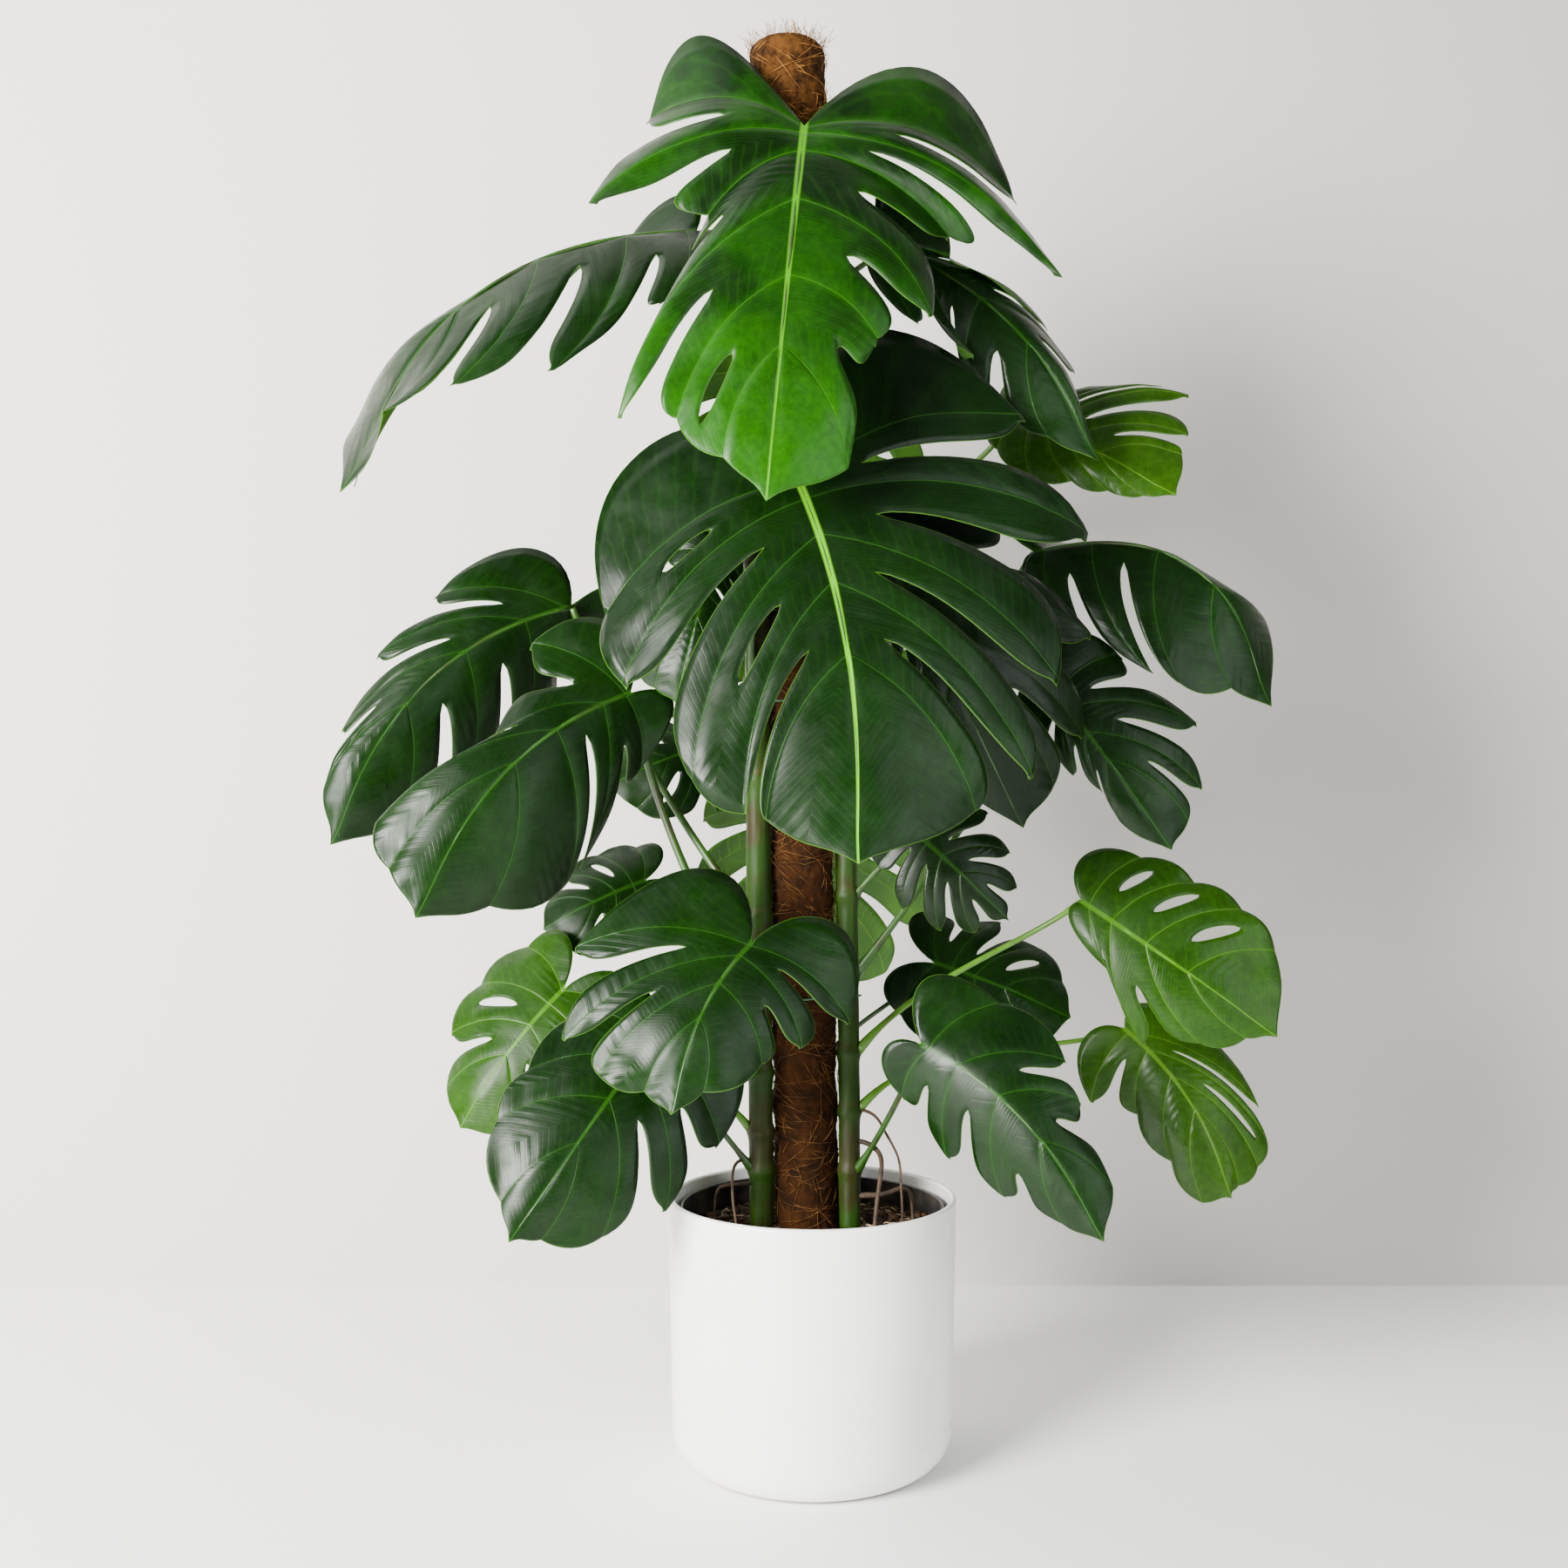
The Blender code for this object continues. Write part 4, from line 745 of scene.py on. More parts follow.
def leafTop(name, tone):
    finish = Finish(name + "Top")
    where = finish.place()
    ribWidth = tone.get("ribWidth", leafFinish["midribWidth"])
    ribLine, veinLine, fineLine, rimLine, besideVein, towardsTip, slant = leafLines(finish, ribWidth)
    patches = finish.cloud(where, 13.0, 3.0, 0.35, 0.68)
    nearVein = finish.ramp(besideVein, 0.0, 0.010, 0.22, 0.0)
    fresher = finish.ramp(towardsTip, tone.get("freshFrom", 0.2), 1.0, 0.0, tone.get("tipShare", 0.25))
    share = finish.plus(finish.times(patches, 0.40), fresher)
    share = finish.put("Math", {0: share, 1: nearVein}, operation="ADD", use_clamp=True).outputs[0]
    finish.colour = finish.blend(share, tone["deep"], tone["fresh"])
    finish.shade(finish.cloud(where, 160.0, 5.0, 0.3, 0.7, 0.82, 1.14))
    finish.lay(tone["vein"], fineLine, 0.07)
    finish.lay(tone["vein"], veinLine, 0.55)
    finish.lay(tone.get("rib", tone["vein"]), ribLine, 0.85)
    finish.lay(leafFinish["rimColour"], rimLine, 0.55)
    gloss = finish.cloud(where, 34.0, 4.0, 0.3, 0.7, *leafFinish["roughness"])
    crease = finish.sums("SINE", finish.times(slant, leafFinish["creases"]))
    crease = finish.times(crease, finish.cloud(where, 14.0, 2.0, 0.42, 0.70, 0.0, 0.5))
    relief = finish.plus(finish.times(fineLine, -0.12), crease)
    relief = finish.plus(relief, finish.times(veinLine, -0.6))
    return finish.done(gloss, leafFinish["specular"], (relief, 0.45, 0.0007))


def leafUnder():
    finish = Finish("leafUnder")
    ribLine, veinLine, fineLine, *others = leafLines(finish, leafFinish["midribWidth"])
    patches = finish.cloud(finish.place(), 16.0, 4.0, 0.3, 0.7)
    finish.colour = finish.blend(patches, leafFinish["underDeep"], leafFinish["underFresh"])
    finish.lay(leafFinish["underVein"], fineLine, 0.2)
    lines = finish.sums("MAXIMUM", veinLine, ribLine)
    finish.lay(leafFinish["underVein"], lines, 0.8)
    relief = finish.plus(finish.times(fineLine, 0.5), finish.times(lines, 1.4))
    return finish.done(leafFinish["underRoughness"], leafFinish["specular"], (relief, 0.4, 0.0008))


def stalkFinish(name, green, brown, brownShare):
    finish = Finish(name)
    where = finish.place()
    streaks = finish.streaks(where, (60, 60, 6))
    patch = finish.cloud(where, 22.0, 3.0, 0.62 - brownShare, 0.80 - brownShare)
    finish.colour = finish.blend(finish.ramp(streaks, 0.3, 0.7), green, tuple(value * 1.5 for value in green))
    finish.lay(brown, patch, 0.75)
    return finish.done(finish.ramp(streaks, 0.2, 0.8, 0.30, 0.50), None, (streaks, 0.25, 0.0006))


underFinish = leafUnder()
topFinishes = {name: leafTop(name, tone) for name, tone in leafTones.items()}
stalkGreen = stalkFinish("stalkGreen", (0.0110, 0.0440, 0.0012), (0.018, 0.015, 0.0030), 0.16)
stalkPale = stalkFinish("stalkPale", (0.042, 0.125, 0.0015), (0.045, 0.050, 0.006), 0.05)

stalkShape = {
    "rings": 34,
    "sides": 14,
    "startUpward": 1.3,
    "reach": 0.36,
    "aim": 0.9,
    "sheathWidening": 1.7,
    "sheathLength": 0.16,
    "kneeWidening": 0.30,
    "kneePlace": 0.955,
    "kneeLength": 0.03,
    "thinning": 0.14,
    "ribDrop": 0.0006,
    "ribSteps": 24,
}


def stalkRoute(blade, pose):
    radius = pose["stalk"]
    z = soilTop + pose["height"]
    centre = vineCentre(pose["vine"], z)
    towards = blade.base - centre
    outward = centre - poleAxis(z)
    outward.z = 0
    sideways = Vector((towards.x, towards.y, 0)).normalized()
    outward = (outward.normalized() + sideways).normalized()
    leave = (outward + Vector((0, 0, stalkShape["startUpward"]))).normalized()
    arrive = (towards.normalized() * stalkShape["aim"] + blade.normal).normalized()
    start = centre + outward * (vines[pose["vine"]]["radius"] * 0.75)
    end = blade.base - arrive * radius * 0.6
    reach = (end - start).length * stalkShape["reach"]
    pulls = (start + leave * reach, end - arrive * reach)
    last = stalkShape["rings"] - 1
    return [bezier4(start, *pulls, end, step / last) for step in range(stalkShape["rings"])]


def stalkRadii(radius, count):
    # wide where it clasps the vine, then even, with a knee just under the blade
    radii = []
    for step in range(count):
        share = step / (count - 1)
        clasp = 1 - smoothStep(0, stalkShape["sheathLength"], share)
        knee = math.exp(-((share - stalkShape["kneePlace"]) / stalkShape["kneeLength"]) ** 2)
        size = 1 + (stalkShape["sheathWidening"] - 1) * clasp + stalkShape["kneeWidening"] * knee
        radii.append(radius * size * (1 - stalkShape["thinning"] * share))
    return radii


def addRibs(bm, blade, radius):
    # the raised midrib under the blade, thinning towards its end
    last = stalkShape["ribSteps"]
    sunk, radii = [], []
    for step in range(last + 1):
        left = 1 - step / last
        drop = blade.normal * (radius * 0.55 * left + stalkShape["ribDrop"])
        sunk.append(blade.place(blade.midrib(step / last)) - drop)
        radii.append(max(0.0005, radius * 0.80 * left ** 0.8))
    tubeAlong(bm, sunk, radii, 8)


for index, (name, pose) in enumerate(leaves.items()):
    blade = LeafSurface(pose, 1.7 * index + 0.3)
    leafFinishes = [topFinishes[pose["tone"]], underFinish]
    leaf = finishPiece("leaf_" + name, bladeMesh(blade), leafFinishes, ["blade_" + name])
    wall = leaf.modifiers.new("thickness", "SOLIDIFY")
    wall.thickness = bladeShape["thickness"]
    wall.offset = 0
    wall.material_offset = 1
    wall.material_offset_rim = 0
    route = stalkRoute(blade, pose)
    bm = bmesh.new()
    tubeAlong(bm, route, stalkRadii(pose["stalk"], len(route)), stalkShape["sides"])
    addRibs(bm, blade, pose["stalk"])
    stalkFinishes = [stalkPale if pose["tone"] in ("bright", "young") else stalkGreen]
    finishPiece("petiole_" + name, bm, stalkFinishes, ["stalk_" + name])
print("leaves and stalks", len(leaves))


# coir pole, vines, ties and air roots

coir = {
    "rings": 420,
    "sides": 110,
    "lump": 0.0032,
    "fuzz": 0.0014,
    "dark": (0.009, 0.0034, 0.0008),
    "warm": (0.026, 0.0085, 0.0014),
    "paleWarm": (0.070, 0.027, 0.0050),
    "straw": (0.075, 0.030, 0.0055),
    "fibres": 1500,
    "fibreRadius": 0.00030,
    "tuftFibres": 260,
}


def coirFinish():
    finish = Finish("coirWrap")
    where = finish.place()
    lumps = finish.noise(where, 55.0, 6.0, 0.7)
    crossed = finish.streaks(where, (420, 420, 60), 0.7)
    level = finish.streaks(where, (70, 70, 520), 0.7)
    fibres = finish.sums("MAXIMUM", crossed, level)
    high = finish.ramp(finish.split(where)[2], poleTop - 0.30, poleTop - 0.05)
    warm = finish.blend(high, coir["warm"], coir["paleWarm"])
    finish.colour = finish.blend(finish.ramp(lumps, 0.35, 0.62), coir["dark"], warm)
    finish.lay(coir["straw"], finish.ramp(fibres, 0.60, 0.78, 0.0, 0.75))
    return finish.done(0.95, 0.10, (fibres, 0.8, 0.002))


def fibreFinish(name, first, second, paler=1.0):
    # paler is how much lighter the strands are near the top of the pole
    finish = Finish(name)
    where = finish.place()
    finish.colour = finish.blend(finish.cloud(where, 90.0, 2.0, 0.35, 0.65), first, second)
    finish.shade(finish.ramp(finish.split(where)[2], poleTop - 0.35, poleTop - 0.04, 1.0, paler))
    return finish.done(0.8, 0.15)


def coirPlace(turn, share):
    way = roundWay(2 * math.pi * turn)
    rim = 0.055
    if share <= rim:
        z, radius = soilTop, coirRadiusAt(soilTop) * share / rim
    elif share >= 1 - rim:
        left = (1 - share) / rim
        z = poleTop - 0.004 - 0.010 * left * left
        radius = (layout["coirTopRadius"] - 0.004) * math.sqrt(left)
    else:
        z = soilTop + (poleTop - 0.014 - soilTop) * (share - rim) / (1 - 2 * rim)
        radius = coirRadiusAt(z) - 0.003
    spot = way * 1.1 + Vector((0, 0, z * 34))
    lump = coir["lump"] * noise.noise(spot) + coir["fuzz"] * noise.noise(spot * 5.3)
    lump += coir["fuzz"] * 0.6 * noise.noise(Vector((way.x * 14, way.y * 14, z * 420)))
    return poleAxis(z) + way * max(0, radius + (lump if radius > 0.006 else 0))


bm = bmesh.new()
wrapGrid(bm, coir["rings"], coir["sides"], coirPlace)
bmesh.ops.recalc_face_normals(bm, faces=bm.faces)
finishPiece("coirWrap", bm, [coirFinish()], ["coir_pole", "stake"])

rng = random.Random(7)
routes = []
for number in range(coir["fibres"]):
    z = soilTop + 0.004 + (poleTop - soilTop - 0.02) * rng.random()
    angle = rng.uniform(0, 2 * math.pi)
    turn = rng.gauss(0, 0.5)
    climb = rng.gauss(0, 0.011)
    lift = rng.random() ** 3 * 0.006
    route = []
    for step in range(5):
        share = step / 4 - 0.5
        height = min(max(z + climb * share * 2, soilTop + 0.001), poleTop - 0.006)
        around = angle + turn * share * 2
        out = coirRadiusAt(height) - 0.0025 + lift * (1 - 4 * share * share) + rng.uniform(0, 0.0018)
        route.append(poleAxis(height) + roundWay(around) * out)
    routes.append(route)
for number in range(coir["tuftFibres"]):
    way = roundWay(rng.uniform(0, 2 * math.pi))
    root = poleAxis(poleTop - 0.018) + way * 0.038 * rng.random() ** 0.6
    lean = way * rng.uniform(0.0, 0.012)
    swing = Vector((rng.uniform(-1, 1), rng.uniform(-1, 1), 0)) * 0.008
    rise = Vector((0, 0, rng.uniform(0.010, 0.024)))
    routes.append([root, root + rise * 0.5 + lean * 0.4, root + rise * 0.85 + lean + swing * 0.5,
                   root + rise + lean + swing])
placePiece("coirFibres", strandMesh("coirFibres", routes, coir["fibreRadius"]),
           [fibreFinish("coirStrand", (0.034, 0.012, 0.0018), (0.115, 0.052, 0.011), 2.6)], [])
print("coir pole")

vineLook = {
    "sides": 28,
    "ringStep": 0.004,
    "nodeSwelling": 0.20,
    "nodeLength": 0.006,
    "ringGroove": 0.06,
    "green": (0.0085, 0.0300, 0.0010),
    "brown": (0.016, 0.0150, 0.0020),
    "streak": (0.026, 0.052, 0.0030),
    "scar": (0.030, 0.026, 0.006),
    "nodeSpacing": 0.085,
}


def vineFinish():
    finish = Finish("vineBark")
    where = finish.place()
    streaks = finish.streaks(where, (140, 140, 18))
    patches = finish.cloud(where, 18.0, 5.0, 0.42, 0.60)
    finish.colour = finish.blend(patches, vineLook["green"], vineLook["brown"])
    finish.lay(vineLook["streak"], finish.ramp(streaks, 0.45, 0.75, 0.0, 0.5))
    finish.lay(vineLook["scar"], finish.attribute("nodeRing", "Fac"))
    return finish.done(0.50, 0.16, (streaks, 0.5, 0.001))


vineBark = vineFinish()
for vineName, vine in vines.items():
    nodes = [pose["height"] for pose in leaves.values() if pose["vine"] == vineName]
    spare = [vineLook["nodeSpacing"] * step for step in range(1, 14)]
    spare = [height for height in spare if height < vine["top"]]
    nodes += [height for height in spare if all(abs(height - other) > 0.05 for other in nodes)]
    count = round(vine["top"] / vineLook["ringStep"])
    frames = []
    for step in range(count + 1):
        height = vine["top"] * step / count
        swell = max(math.exp(-((height - node) / vineLook["nodeLength"]) ** 2) for node in nodes)
        groove = max(math.exp(-((height - node - 0.008) / 0.0018) ** 2) for node in nodes)
        end = 1 - 0.35 * smoothStep(vine["top"] - 0.03, vine["top"], height)
        size = vine["radius"] * (1 + vineLook["nodeSwelling"] * swell - vineLook["ringGroove"] * groove) * end
        frames.append((vineCentre(vineName, soilTop + height), size, groove))
    frames = [(frames[0][0], 0.0, 0.0), *frames, (frames[-1][0] + Vector((0, 0, 0.002)), 0.0, 0.0)]
    lastFrame = len(frames) - 1
    bm = bmesh.new()
    ringLayer = bm.verts.layers.float.new("nodeRing")
    grid = bmesh.ops.create_grid(bm, x_segments=vineLook["sides"], y_segments=lastFrame, size=0.5)
    for vertex in grid["verts"]:
        centre, radius, vertex[ringLayer] = frames[round((vertex.co.y + 0.5) * lastFrame)]
        way = roundWay(2 * math.pi * (vertex.co.x + 0.5))
        vertex.co = centre + way * (radius * (1 + 0.05 * noise.noise(way * 1.3 + centre * 30)))
    bmesh.ops.remove_doubles(bm, verts=bm.verts, dist=0.00002)
    bmesh.ops.recalc_face_normals(bm, faces=bm.faces)
    finishPiece("stem_" + vineName, bm, [vineBark], [vineName])
print("vines")

tieLook = {
    "radius": 0.0011,
    "steps": 90,
    "heights": {"tie_lower": 0.233, "tie_upper": 0.538, "": 0.845},
}
tieWire = mottledFinish("tieWire", (300.0, 2.0, 0.3, 0.7), (0.012, 0.05, 0.022), (0.03, 0.09, 0.04), 0.45)
for tieName, height in tieLook["heights"].items():
    z = soilTop + height
    rounds = [(poleAxis(z), coirRadiusAt(z))]
    rounds += [(vineCentre(name, z), vine["radius"] * 1.04)
               for name, vine in vines.items() if vine["top"] > height]
    loop = []
    for step in range(tieLook["steps"] + 5):
        angle = 2 * math.pi * step / tieLook["steps"]
        way = roundWay(angle)
        centre, radius = max(rounds, key=lambda item: item[0].dot(way) + item[1])
        drop = Vector((0, 0, 0.0035 * math.sin(angle + height * 9)))
        loop.append(centre + way * (radius + tieLook["radius"] + 0.0004) + drop)
    bm = bmesh.new()
    tubeAlong(bm, loop, [tieLook["radius"]] * len(loop), 8)
    finishPiece("wire_" + (tieName or "tie_high"), bm, [tieWire], [tieName] if tieName else [])
print("ties")

rootLook = {
    "air_root_right": {"vine": "vine_right", "height": 0.033, "end": (0.105, 0.010), "radius": 0.0022},
    "air_root_front": {"vine": "vine_right", "height": 0.088, "end": (0.060, -0.080), "radius": 0.0022},
    "thinRootFront": {"vine": "vine_left", "height": 0.070, "end": (-0.075, -0.075), "radius": 0.0014},
    "thinRootRight": {"vine": "vine_right", "height": 0.120, "end": (0.090, -0.055), "radius": 0.0013},
    "thinRootLeft": {"vine": "vine_left", "height": 0.045, "end": (-0.100, -0.020), "radius": 0.0016},
}
airRoot = mottledFinish("airRoot", (120.0, 4.0, 0.35, 0.65), (0.016, 0.0085, 0.0040), (0.060, 0.032, 0.013),
                        0.8, (0.5, 0.0008))
for rootName, root in rootLook.items():
    z = soilTop + root["height"]
    centre = vineCentre(root["vine"], z)
    outward = (centre - poleAxis(z)).normalized()
    end = Vector((*root["end"], soilTop - 0.004))
    start = centre + outward * vines[root["vine"]]["radius"] * 0.8
    pulls = (start + outward * 0.04, end + Vector((0, 0, 0.06)))
    route = []
    for step in range(31):
        point = bezier4(start, *pulls, end, step / 30)
        wander = noise.noise_vector(point * 28 + Vector((root["radius"] * 900, 0, 0))) * 0.0035
        route.append(point + wander * math.sin(math.pi * step / 30))
    bm = bmesh.new()
    tubeAlong(bm, route, [root["radius"] * (1.25 - 0.45 * step / 30) for step in range(31)], 10, 0.25, z)
    held = [rootName] if rootName.startswith("air_") else []
    finishPiece("root_" + rootName, bm, [airRoot], held)
print("air roots")


# cover pot, grow pot and soil

potLook = {
    "segments": 160,
    "wall": 0.006,
    "floor": 0.008,
    "taper": 0.004,
    "corner": 0.038,
    "footRecess": 0.0015,
    "footBand": 0.006,
    "glaze": (0.86, 0.855, 0.84),
    "shade": (0.80, 0.79, 0.775),
    "speck": (0.45, 0.42, 0.38),
    "clay": (0.42, 0.27, 0.16),
}


def arc(centre, radius, start, end, steps):
    points = []
    for step in range(steps + 1):
        angle = math.radians(start + (end - start) * step / steps)
        points.append((centre[0] + radius * math.cos(angle), centre[1] + radius * math.sin(angle)))
    return points


def turnProfile(profile, segments):
    # a profile of radius and height, from the axis and back to it, spun round the upright axis
    bm = bmesh.new()
    points = [bm.verts.new((radius, 0, height)) for radius, height in profile]
    edges = [bm.edges.new(pair) for pair in zip(points, points[1:])]
    bmesh.ops.spin(bm, geom=points + edges, cent=(0, 0, 0), axis=(0, 0, 1), angle=2 * math.pi,
                   steps=segments, use_merge=True)
    bmesh.ops.remove_doubles(bm, verts=bm.verts, dist=0.00005)
    bmesh.ops.recalc_face_normals(bm, faces=bm.faces)
    return bm


def glazeFinish():
    finish = Finish("whiteGlaze")
    where = finish.place()
    clouds = finish.times(finish.cloud(where, 9.0, 3.0, 0.35, 0.65), 0.35)
    finish.colour = finish.blend(clouds, potLook["glaze"], potLook["shade"])
    finish.lay(potLook["speck"], finish.cloud(where, 700.0, 2.0, 0.72, 0.80), 0.25)
    finish.lay(potLook["clay"], finish.ramp(finish.split(where)[2], 0.0012, 0.0030, 1.0, 0.0))
    finish.feed(finish.shader, {"Coat Weight": 0.35, "Coat Roughness": 0.12})
    gloss = finish.cloud(where, 26.0, 3.0, 0.3, 0.7, 0.26, 0.36)
    return finish.done(gloss, None, (finish.noise(where, 30.0, 3.0), 0.10, 0.0015))


potRadius = (potHigh.x - potLow.x) / 2
potHeight = potHigh.z
footSide = potRadius - potLook["taper"]
lip = potLook["wall"] / 2
innerSide = footSide - potLook["wall"]
innerCorner = potLook["corner"] - potLook["wall"]
footRing = footSide - potLook["corner"]
profile = [(0, potLook["floor"])]
profile += arc((innerSide - innerCorner, potLook["floor"] + innerCorner), innerCorner, -90, 0, 14)
profile += arc((potRadius - lip, potHeight - lip), lip, 180, 0, 12)
profile += arc((footRing, potLook["corner"]), potLook["corner"], 0, -90, 18)
recess = potLook["footRecess"]
footInside = footRing - potLook["footBand"]
profile += [(footInside, 0), (footInside - recess, recess), (0, recess)]
finishPiece("glazedPot", turnProfile(profile, potLook["segments"]), [glazeFinish()], ["cover_pot"])


linerLow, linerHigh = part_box("grow_pot")
linerRadius = (linerHigh.x - linerLow.x) / 2
linerWall = 0.0015
linerFloor = linerLow.z
shoulder = potLook["floor"] + potLook["corner"]
linerTop = linerHigh.z
profile = [(0, linerFloor + linerWall), (footRing - linerWall, linerFloor + linerWall)]
profile += [(linerRadius - linerWall, shoulder), (linerRadius - linerWall, linerTop - 0.003)]
profile += arc((linerRadius - 0.0008, linerTop - 0.0012), 0.0012, 180, 0, 8)
profile += [(linerRadius, linerTop - 0.006), (linerRadius, shoulder - linerWall), (footRing, linerFloor),
            (0, linerFloor)]
linerPlastic = mottledFinish("linerPlastic", (40.0, 5.0, 0.45, 0.7), (0.012, 0.012, 0.012),
                             (0.06, 0.05, 0.04), 0.5)
finishPiece("growLiner", turnProfile(profile, 120), [linerPlastic], ["grow_pot"])

soilLook = {
    "rings": 70,
    "sides": 180,
    "lump": 0.0045,
    "grain": 0.0022,
    "bits": 900,
    "barkBits": 150,
    "threads": 90,
    "dark": (0.010, 0.006, 0.004),
    "warm": (0.050, 0.028, 0.015),
    "fleck": (0.16, 0.10, 0.055),
}


def soilFinish(name, dark, warm):
    finish = Finish(name)
    where = finish.place()
    clumps = finish.noise(where, 90.0, 6.0, 0.7)
    finish.colour = finish.blend(finish.ramp(clumps, 0.38, 0.66), dark, warm)
    finish.lay(soilLook["fleck"], finish.cloud(where, 420.0, 3.0, 0.66, 0.74), 0.5)
    return finish.done(0.95, 0.10, (clumps, 0.7, 0.003))


def soilHeightAt(x, y):
    away = math.hypot(x, y)
    spot = Vector((x, y, 0))
    height = soilTop - 0.0015 - 0.006 * smoothStep(soilRadius * 0.6, soilRadius, away)
    height += soilLook["lump"] * noise.noise(spot * 42)
    height += soilLook["grain"] * noise.noise(spot * 150) + 0.0012 * noise.noise(spot * 420)
    return height


soilRadius = (soilHigh.x - soilLow.x) / 2
bm = bmesh.new()


def soilPlace(turn, share):
    angle = 2 * math.pi * turn
    if share > 0.5:
        radius = soilRadius * (1 - share) * 2
        x, y = radius * math.cos(angle), radius * math.sin(angle)
        return Vector((x, y, soilHeightAt(x, y)))
    depth = share * 2
    z = soilLow.z + (soilTop - 0.008 - soilLow.z) * depth ** 1.5
    radius = soilRadius * min(1, depth * 12) if depth < 0.083 else soilRadius
    foot = footRing - 0.003
    radius = min(radius, foot + (soilRadius - foot) * between(soilLow.z, shoulder, z))
    return Vector((radius * math.cos(angle), radius * math.sin(angle), z))


wrapGrid(bm, 2 * soilLook["rings"], soilLook["sides"], soilPlace)
bmesh.ops.recalc_face_normals(bm, faces=bm.faces)
finishPiece("rootBall", bm, [soilFinish("pottingSoil", soilLook["dark"], soilLook["warm"])], ["soil"])


def scatterBits(name, count, small, large, seed, material):
    rng = random.Random(seed)
    bm = bmesh.new()
    for number in range(count):
        away = soilRadius * 0.97 * math.sqrt(rng.random())
        angle = rng.uniform(0, 2 * math.pi)
        x, y = away * math.cos(angle), away * math.sin(angle)
        size = small + (large - small) * rng.random() ** 2
        turn = Matrix.Rotation(rng.uniform(0, 6.28), 4, "Z") @ Matrix.Rotation(rng.uniform(-0.7, 0.7), 4, "X")
        spread = Matrix.Diagonal((size * rng.uniform(0.8, 1.6), size, size * rng.uniform(0.45, 0.9), 1))
        place = Matrix.Translation((x, y, soilHeightAt(x, y) + size * 0.2)) @ turn @ spread
        made = bmesh.ops.create_icosphere(bm, subdivisions=1, radius=1, matrix=place)
        for vertex in made["verts"]:
            vertex.co += noise.noise_vector(vertex.co * 400 + Vector((number, 0, 0))) * size * 0.35
    return finishPiece(name, bm, [material], [])


scatterBits("soilCrumbs", soilLook["bits"], 0.0012, 0.0045, 11,
            soilFinish("soilCrumb", (0.014, 0.008, 0.005), (0.065, 0.036, 0.020)))
scatterBits("barkChips", soilLook["barkBits"], 0.0030, 0.0070, 12,
            soilFinish("barkChip", (0.030, 0.016, 0.009), (0.12, 0.065, 0.035)))
rng = random.Random(13)
routes = []
for number in range(soilLook["threads"]):
    away = soilRadius * 0.9 * math.sqrt(rng.random())
    angle = rng.uniform(0, 2 * math.pi)
    heading = rng.uniform(0, 2 * math.pi)
    x, y = away * math.cos(angle), away * math.sin(angle)
    route = []
    for step in range(7):
        route.append(Vector((x, y, soilHeightAt(x, y) + 0.0016 * math.sin(math.pi * step / 6) + 0.0004)))
        heading += rng.uniform(-0.6, 0.6)
        x += math.cos(heading) * 0.006
        y += math.sin(heading) * 0.006
        if math.hypot(x, y) > soilRadius * 0.97:
            heading += math.pi
            x += math.cos(heading) * 0.012
            y += math.sin(heading) * 0.012
    routes.append(route)
placePiece("paleThreads", strandMesh("paleThreads", routes, 0.0005),
           [fibreFinish("paleThread", (0.30, 0.21, 0.12), (0.50, 0.40, 0.27))], [])
print("pot and soil")


# floor, wall, light and camera

room = {
    "wallAway": 0.62,
    "half": 4.0,
    "floor": (0.95, 0.95, 0.945),
    "wall": (0.58, 0.560, 0.535),
    # the wall's colour on its right side, darkened with painted shade where less light falls
    "wallRightPaintedShade": (0.43, 0.412, 0.385),
}


def floorFinish():
    finish = Finish("paleFloor")
    finish.colour = room["floor"]
    return finish.done(0.6)


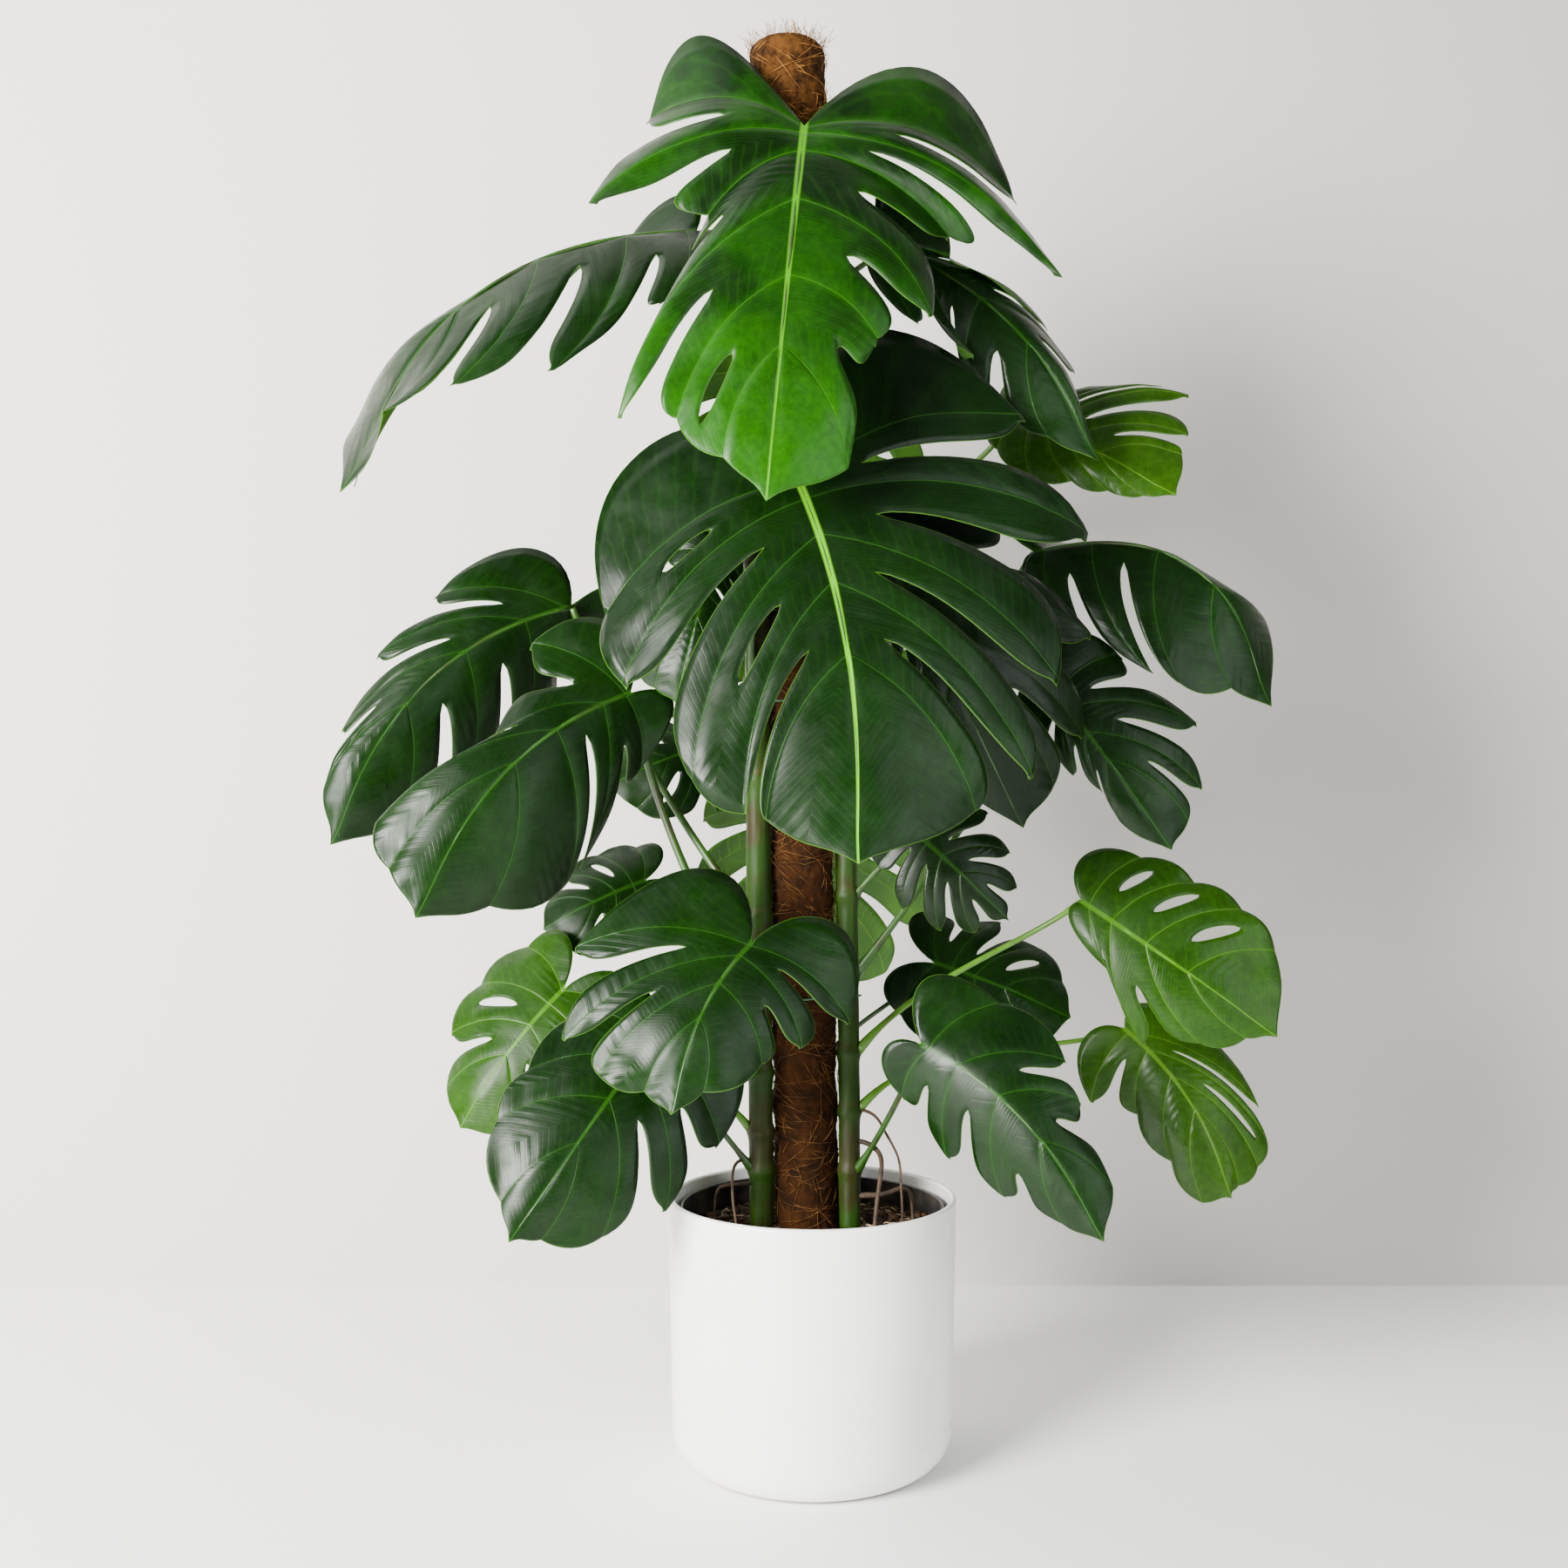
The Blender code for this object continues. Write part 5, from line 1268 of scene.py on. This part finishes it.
def wallFinish():
    # painted shade: a little darker to the right, away from the key light, and clear from behind, so that the
    # plant's back can be seen
    finish = Finish("paleWall")
    share = finish.ramp(finish.split(finish.place())[0], -0.3, 1.1)
    finish.colour = finish.blend(share, room["wall"], room["wallRightPaintedShade"])
    behind = finish.put("NewGeometry").outputs["Backfacing"]
    clear = finish.put("BsdfTransparent").outputs[0]
    mixed = finish.put("MixShader", {0: behind, 1: finish.shader.outputs[0], 2: clear})
    finish.feed(finish.tree.nodes["Material Output"], {"Surface": mixed.outputs[0]})
    return finish.done(0.8)


def stagePlane(name, place, material):
    bm = bmesh.new()
    bmesh.ops.create_grid(bm, x_segments=1, y_segments=1, size=room["half"], matrix=place)
    mesh = bpy.data.meshes.new(name)
    bm.to_mesh(mesh)
    bm.free()
    mesh.materials.append(material)
    plane = bpy.data.objects.new(name, mesh)
    bpy.context.scene.collection.objects.link(plane)


upright = Matrix.Rotation(math.radians(90), 4, "X")
stagePlane("floor", Matrix.Translation((0, room["wallAway"] - room["half"], 0)), floorFinish())
stagePlane("wall", Matrix.Translation((0, room["wallAway"], room["half"])) @ upright, wallFinish())

lights = {
    "key": {"at": (-2.3, -2.45, 1.45), "aim": (0, 0, 0.75), "size": 1.7, "power": 620,
            "colour": (1.0, 0.98, 0.95)},
    "fill": {"at": (2.0, -2.2, 1.4), "aim": (0, 0, 0.7), "size": 2.2, "power": 48,
             "colour": (0.95, 0.98, 1.0)},
    "top": {"at": (-1.7, 0.1, 3.0), "aim": (0, 0, 0.3), "size": 2.4, "power": 32,
            "colour": (1.0, 1.0, 1.0)},
}
for name, light in lights.items():
    data = bpy.data.lights.new(name, "AREA")
    data.shape = "DISK"
    data.size = light["size"]
    data.energy = light["power"]
    data.color = light["colour"]
    lamp = bpy.data.objects.new(name, data)
    lamp.location = light["at"]
    aim = Vector(light["aim"]) - Vector(light["at"])
    lamp.rotation_euler = aim.to_track_quat("-Z", "Y").to_euler()
    bpy.context.scene.collection.objects.link(lamp)
world = bpy.data.worlds.new("studio")
world.use_nodes = True
background = world.node_tree.nodes["Background"]
background.inputs["Color"].default_value = (0.86, 0.88, 0.90, 1)
background.inputs["Strength"].default_value = 0.26
bpy.context.scene.world = world

cameraData = bpy.data.cameras.new("camera")
cameraData.lens = 40.26
cameraData.sensor_width = 36
camera = bpy.data.objects.new("camera", cameraData)
camera.location = (-0.029, -1.81, 0.695)
camera.rotation_euler = (math.radians(90), 0, 0)
bpy.context.scene.collection.objects.link(camera)
bpy.context.scene.camera = camera
print("stage")
